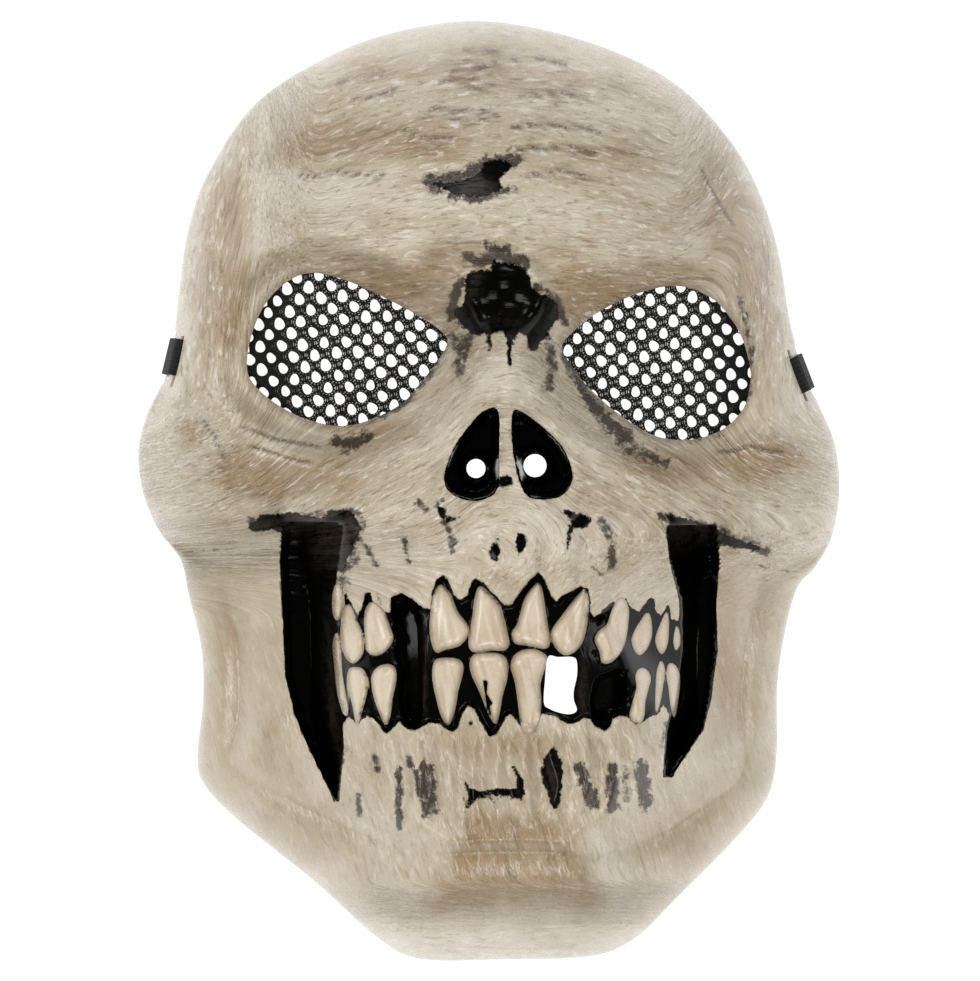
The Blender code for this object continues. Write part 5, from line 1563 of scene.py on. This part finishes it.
def build_net(side):
    """A knitted net panel: a lattice of six-sided cells with a round hole in each."""
    outline = closed_curve(SOCKETS[side][0], 4)
    along, down = np.array(NET_ALONG), np.array(NET_DOWN)
    around = [-along - down, -down, along, along + down, down, -along]
    around.sort(key=lambda step: math.atan2(step[1], step[0]))
    corners = [(around[k] + around[(k + 1) % 6]) / 3 for k in range(6)]
    steps = range(-NET_REACH, NET_REACH + 1)
    cells = [(i, j) for i in steps for j in steps]
    centres = np.array([np.array(NET_START[side]) + i * along + j * down for i, j in cells])
    deep = inside_distance(outline, centres[:, 0], centres[:, 1])
    points, faces, offsets = [], [], []
    per_side = NET_SIDES // 6
    for (i, j), centre, inside in zip(cells, centres, deep):
        if inside < -NET_MARGIN:
            continue
        first = len(points)
        points += net_cell(centre, corners, i, j)
        for k in range(6):
            arc = [first + 6 + (k * per_side + step) % NET_SIDES for step in range(per_side + 1)]
            face = [first + k, first + (k + 1) % 6, *arc[::-1]]
            faces.append(face)
            offsets += [(points[m][0] - centre[0], points[m][1] - centre[1], centre[0]) for m in face]
    flat = np.array(points)
    heights = socket_height(side, flat[:, 0], flat[:, 1]) - NET_DROP
    net = mesh_object("net_" + side, np.stack(place(flat[:, 0], flat[:, 1], heights), 1), faces)
    knit = net.data.attributes.new("knit", "FLOAT_VECTOR", "CORNER")
    knit.data.foreach_set("vector", np.array(offsets, np.float32).ravel())
    mesh = bmesh.new()
    mesh.from_mesh(net.data)
    bmesh.ops.remove_doubles(mesh, verts=mesh.verts, dist=NET_WELD * METRE)
    mesh.to_mesh(net.data)
    mesh.free()
    solid = net.modifiers.new("thickness", "SOLIDIFY")
    solid.thickness = NET_THICK * METRE
    solid.offset = -1.0
    return net


def linear(colour):
    """A screen colour as the linear colour that a shader takes."""
    shares = [c / 255.0 for c in colour]
    return (*(s / 12.92 if s <= 0.04045 else ((s + 0.055) / 1.055) ** 2.4 for s in shares), 1.0)


class Nodes:
    """Short ways to add and join a material's nodes."""

    def __init__(self, name):
        self.material = bpy.data.materials.new(name)
        self.material.use_nodes = True
        self.tree = self.material.node_tree
        self.shader = self.tree.nodes["Principled BSDF"]

    def add(self, kind, **settings):
        node = self.tree.nodes.new("ShaderNode" + kind)
        for key, value in settings.items():
            setattr(node, key, value)
        return node

    def feed(self, node, name, value):
        if isinstance(value, bpy.types.NodeSocket):
            self.tree.links.new(value, node.inputs[name])
        else:
            node.inputs[name].default_value = value

    def read(self, name, vector=False):
        node = self.add("Attribute", attribute_name=name)
        return node.outputs["Vector" if vector else "Fac"]

    def math(self, operation, a, b=0.0, c=0.0):
        node = self.add("Math", operation=operation)
        for index, value in enumerate((a, b, c)):
            self.feed(node, index, value)
        return node.outputs[0]

    def times(self, a, b):
        return self.math("MULTIPLY", a, b)

    def plus(self, a, b):
        return self.math("ADD", a, b)

    def less(self, a, b):
        return self.math("SUBTRACT", a, b)

    def centred(self, noise, span):
        """Noise from 0 to 1 as a number from half the span below 0 to half of it above."""
        return self.math("MULTIPLY_ADD", noise, span, -span / 2)

    def steps(self, value, low, high):
        """0 below low, 1 above high and smooth between."""
        node = self.add("MapRange", interpolation_type="SMOOTHSTEP")
        self.feed(node, "Value", value)
        self.feed(node, "From Min", low)
        self.feed(node, "From Max", high)
        return node.outputs["Result"]

    def fade(self, value, name):
        """0 where a named layer starts, 1 where it is full and smooth between."""
        return self.steps(value, *FADES[name])

    def mix(self, share, a, b):
        node = self.add("Mix", data_type="RGBA")
        self.feed(node, 0, share)
        self.feed(node, 6, a)
        self.feed(node, 7, b)
        return node.outputs[2]

    def texture(self, name):
        """A named noise texture over its own coordinates."""
        source, scale, offset, detail, distortion, roughness = TEXTURES[name]
        mapping = self.add("Mapping")
        self.feed(mapping, "Vector", self.read(source, True))
        self.feed(mapping, "Scale", scale)
        self.feed(mapping, "Location", offset)
        node = self.add("TexNoise")
        self.feed(node, "Vector", mapping.outputs["Vector"])
        self.feed(node, "Scale", 1.0)
        self.feed(node, "Detail", detail)
        self.feed(node, "Roughness", roughness)
        self.feed(node, "Distortion", distortion)
        return node.outputs["Fac"]

    def bump(self, height, distance):
        node = self.add("Bump")
        self.feed(node, "Height", height)
        self.feed(node, "Distance", distance)
        self.feed(node, "Strength", 1.0)
        return node.outputs["Normal"]


def bone_colour(n, noise, busy):
    """Bare bone: tan stains and painted shade on the temples and brows, lightened by painted highlights,
    then the layers of streaks, flecks, painted wrinkle highlights and shade, and painted shade round the
    eye edges.
    """
    # tan stains and painted shade on the temples and brows, with streaks and clouds
    tan = n.plus(n.read("tan"), n.times(n.centred(noise["wide_streak"], TAN_STREAKS), busy))
    tan = n.plus(tan, n.centred(noise["cloud"], TAN_CLOUDS))
    # painted highlights lower the tan value towards the light bone colour
    tan = n.less(tan, n.times(n.read("pale"), HIGHLIGHT_SHARE))
    colour = n.mix(n.fade(tan, "mid"), linear(BONE_LIGHT), linear(BONE_MID))
    colour = n.mix(n.fade(tan, "tan"), colour, linear(BONE_TAN_AND_SHADE))
    brown = n.times(n.fade(noise["streak"], "streak"), n.fade(tan, "streak_tan"))
    shares = {
        "brown_streaks": n.times(brown, busy),
        "light_flecks": n.times(n.fade(noise["fleck"], "light_fleck"), busy),
        "dark_flecks": n.times(n.fade(noise["fleck"], "dark_fleck"), busy),
        # painted highlights and shade along the wrinkles
        "wrinkle_highlight": n.times(n.read("wrinkle_highlight_edge"), n.fade(noise["fleck"], "wrinkle_highlight")),
        "wrinkle_shade": n.times(n.read("wrinkle"), n.fade(noise["speck"], "wrinkle_shade")),
        # painted shade round the eye openings
        "eye_edge_shade": n.less(1.0, n.fade(n.read("eye"), "eye_edge_shade")),
    }
    for name, (cover, paint) in LAYERS.items():
        colour = n.mix(n.times(shares[name], cover), colour, linear(paint))
    return colour


def tooth_colour(n, noise):
    """Teeth: ivory with darker patches and a brown border."""
    patches = n.plus(n.times(noise["cloud"], TOOTH_CLOUDS), n.times(noise["streak"], TOOTH_STREAKS))
    colour = n.mix(n.fade(patches, "tooth_stain"), linear(TOOTH_LIGHT), linear(TOOTH_DARK))
    border = n.less(1.0, n.fade(n.read("tooth"), "tooth_border"))
    return n.mix(n.times(border, TOOTH_BORDER), colour, linear(BONE_BROWN))


def ragged_edge(n, noise, rags):
    """The sum of textures, each centred and with its own span, that frays an edge of paint."""
    parts = [n.centred(noise[name], span) for name, span in rags]
    total = parts[0]
    for part in parts[1:]:
        total = n.plus(total, part)
    return total


def soot_and_shade_share(n, noise, tooth):
    """How much soot and painted shade lies on the bone: soft dark stains, and shade in sockets and
    creases, with frayed edges, none on the teeth.
    """
    edge = n.times(ragged_edge(n, noise, SOOT_AND_SHADE_RAGS), SOOT_AND_SHADE_RAGGED)
    soot_and_shade = n.times(n.fade(n.plus(n.read("soot_and_shade"), edge), "soot_and_shade"), n.fade(n.read("soot_and_shade"), "soot_and_shade_reach"))
    return n.times(soot_and_shade, n.less(1.0, tooth))


def black_share(n, noise, tooth):
    """How much black paint lies there, with a frayed edge and none on the teeth."""
    black = n.fade(n.plus(n.read("black"), ragged_edge(n, noise, BLACK_RAGS)), "black")
    return n.times(black, n.less(1.0, tooth))


def bone_material():
    """Glossy bone paint with brown streaks, tan stains, painted highlights, soot and painted shade, and
    black paint whose grey wash is partly painted light on the recess walls.
    """
    n = Nodes("bone_paint")
    noise = {name: n.texture(name) for name in BONE_TEXTURES}
    busy = n.read("busy")
    tooth = n.fade(n.read("tooth"), "tooth")
    black = black_share(n, noise, tooth)
    colour = n.mix(tooth, bone_colour(n, noise, busy), tooth_colour(n, noise))
    # soot and painted shade over the bone
    colour = n.mix(n.times(soot_and_shade_share(n, noise, tooth), SOOT_AND_SHADE_COVER), colour, linear(SOOT_AND_SHADE_COLOUR))
    # grey: partly a brown-grey wash, partly painted light on the recess walls
    wash_and_lit_wall = n.times(n.read("grey_wash_and_lit_wall"), n.fade(n.plus(noise["streak"], noise["ragged"]), "wash_and_lit_wall"))
    paint = n.mix(n.math("MINIMUM", wash_and_lit_wall, 1.0), linear(BLACK_COLOUR), linear(GREY_WASH_AND_LIT_WALL_COLOUR))
    colour = n.mix(black, colour, paint)
    colour = n.mix(n.fade(n.read("inside"), "inside"), colour, linear(INSIDE_COLOUR))
    n.feed(n.shader, "Base Color", colour)

    relief = n.plus(n.times(noise["streak"], RELIEF_STREAKS), n.times(noise["fleck"], RELIEF_FLECKS))
    kept = n.less(1.0, n.times(n.math("MAXIMUM", tooth, black), RELIEF_LOST))
    n.feed(n.shader, "Normal", n.bump(n.times(n.times(relief, busy), kept), RELIEF_HEIGHT))
    rough = n.math("MULTIPLY_ADD", noise["ragged"], RAGGED_ROUGHNESS, BONE_ROUGHNESS)
    n.feed(n.shader, "Roughness", n.less(rough, n.times(black, BLACK_GLOSS)))
    n.feed(n.shader, "Specular IOR Level", n.math("MULTIPLY_ADD", black, BLACK_SPECULAR, BONE_SPECULAR))
    return n.material


def net_material(side):
    """Black knitted net, with small pores round its holes and ladders between them, the pores painted
    light in the colour of the bright floor seen through them.
    """
    n = Nodes("net_paint_" + side)
    split = n.add("SeparateXYZ")
    n.feed(split, "Vector", n.read("knit", True))
    right, up = split.outputs["X"], split.outputs["Y"]
    radius = n.math("SQRT", n.plus(n.times(right, right), n.times(up, up)))
    turn = n.math("ARCTAN2", up, right)
    beads = n.fade(n.math("COSINE", n.times(turn, PORES_ROUND)), "pore_bead")
    in_ring = n.fade(n.math("ABSOLUTE", n.less(radius, PORE_RING_RADIUS)), "pore_ring")
    ladder = n.fade(n.math("COSINE", n.times(right, 2 * math.pi / LADDER_PITCH)), "ladder")
    in_row = n.times(n.fade(n.math("ABSOLUTE", up), "ladder_row"),
                     n.fade(n.math("ABSOLUTE", right), "ladder_start"))
    pore = n.math("MAXIMUM", n.times(beads, in_ring), n.times(ladder, in_row))
    sign, start, full = PORE_SIDE[side]
    pore = n.times(pore, n.steps(n.times(split.outputs["Z"], sign), start, full))
    pore = n.times(pore, n.fade(n.texture("patchy"), "patchy"))
    # the pores are painted light, as the bright floor seen through them
    n.feed(n.shader, "Base Color", n.mix(pore, linear(NET_COLOUR), linear(PORE_LIGHT_THROUGH_COLOUR)))
    n.feed(n.shader, "Roughness", NET_ROUGHNESS)
    n.feed(n.shader, "Specular IOR Level", NET_SPECULAR)
    n.feed(n.shader, "Normal", n.bump(n.math("COSINE", n.times(radius, NET_BUMPS)), WEAVE_HEIGHT))
    return n.material


def strap_material():
    """Black woven elastic with fine ribs across it."""
    n = Nodes("strap_weave")
    split = n.add("SeparateXYZ")
    n.feed(split, "Vector", n.read("weave", True))
    ribs = n.math("SINE", n.times(split.outputs["X"], 2 * math.pi / RIB_PITCH))
    cords = n.math("SINE", n.times(split.outputs["Y"], 2 * math.pi / CORD_PITCH))
    weave = n.plus(n.times(ribs, RIB_SHARE), cords)
    n.feed(n.shader, "Base Color", n.mix(n.fade(weave, "weave"), linear(STRAP_DARK), linear(STRAP_LIGHT)))
    n.feed(n.shader, "Roughness", STRAP_ROUGHNESS)
    n.feed(n.shader, "Normal", n.bump(weave, WEAVE_HEIGHT))
    return n.material


def floor_material():
    """A pale floor that glows a little, like a light table, so the openings show bright."""
    n = Nodes("floor_pale")
    n.feed(n.shader, "Base Color", (FLOOR_GREY, FLOOR_GREY, FLOOR_GREY, 1.0))
    n.feed(n.shader, "Roughness", 1.0)
    n.feed(n.shader, "Specular IOR Level", 0.0)
    n.feed(n.shader, "Emission Color", (1.0, 1.0, 1.0, 1.0))
    n.feed(n.shader, "Emission Strength", FLOOR_GLOW)
    return n.material


def build_floor():
    corners = [(FLOOR_REACH * s, FLOOR_REACH * t, 0) for s, t in ((-1, -1), (1, -1), (1, 1), (-1, 1))]
    floor = mesh_object("floor", corners, [(0, 1, 2, 3)])
    floor.location.z = -FLOOR_DROP
    floor.data.materials.append(floor_material())


def add_area(name, location, power):
    light = bpy.data.lights.new(name, "AREA")
    light.shape = "SQUARE"
    light.size = LIGHT_SIZE
    light.energy = power
    lamp = bpy.data.objects.new(name, light)
    lamp.location = location
    lamp.rotation_euler = Vector(location).to_track_quat("Z", "Y").to_euler()
    bpy.context.scene.collection.objects.link(lamp)


def light_studio():
    bpy.context.scene.view_settings.view_transform = "Standard"
    world = bpy.data.worlds.new("studio")
    world.use_nodes = True
    world.node_tree.nodes["Background"].inputs["Color"].default_value = (1.0, 1.0, 1.0, 1.0)
    world.node_tree.nodes["Background"].inputs["Strength"].default_value = SKY_GLOW
    bpy.context.scene.world = world
    for name, (location, power) in LIGHTS.items():
        add_area(name, location, power)


def aim_camera():
    """A long lens almost straight above the mask, turned three degrees as judged from the photograph."""
    data = bpy.data.cameras.new("camera")
    camera = bpy.data.objects.new("camera", data)
    bpy.context.scene.collection.objects.link(camera)
    spot = Vector((-SIGHT_HEIGHT * SIGHT_SLANT, 0.0, SIGHT_HEIGHT)) * METRE
    camera.location = spot
    camera.rotation_euler = (0.0, -math.atan(SIGHT_SLANT), 0.0)
    data.sensor_width = CAMERA_SENSOR
    data.lens = CAMERA_SENSOR * spot.length / (PICTURE_MM * METRE * PICTURE_WIDTH)
    bpy.context.scene.camera = camera


def main():
    shell = build_shell()
    shell.data.materials.append(bone_material())
    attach(shell, "root")
    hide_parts("mask_shell")
    for side in SOCKETS:
        net = build_net(side)
        net.data.materials.append(net_material(side))
        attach(net, "root")
        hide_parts("eye_net_" + side)
    strap, path, length = build_strap()
    strap.data.materials.append(strap_material())
    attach(strap, "root")
    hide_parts("elastic_strap")
    build_floor()
    light_studio()
    aim_camera()


main()
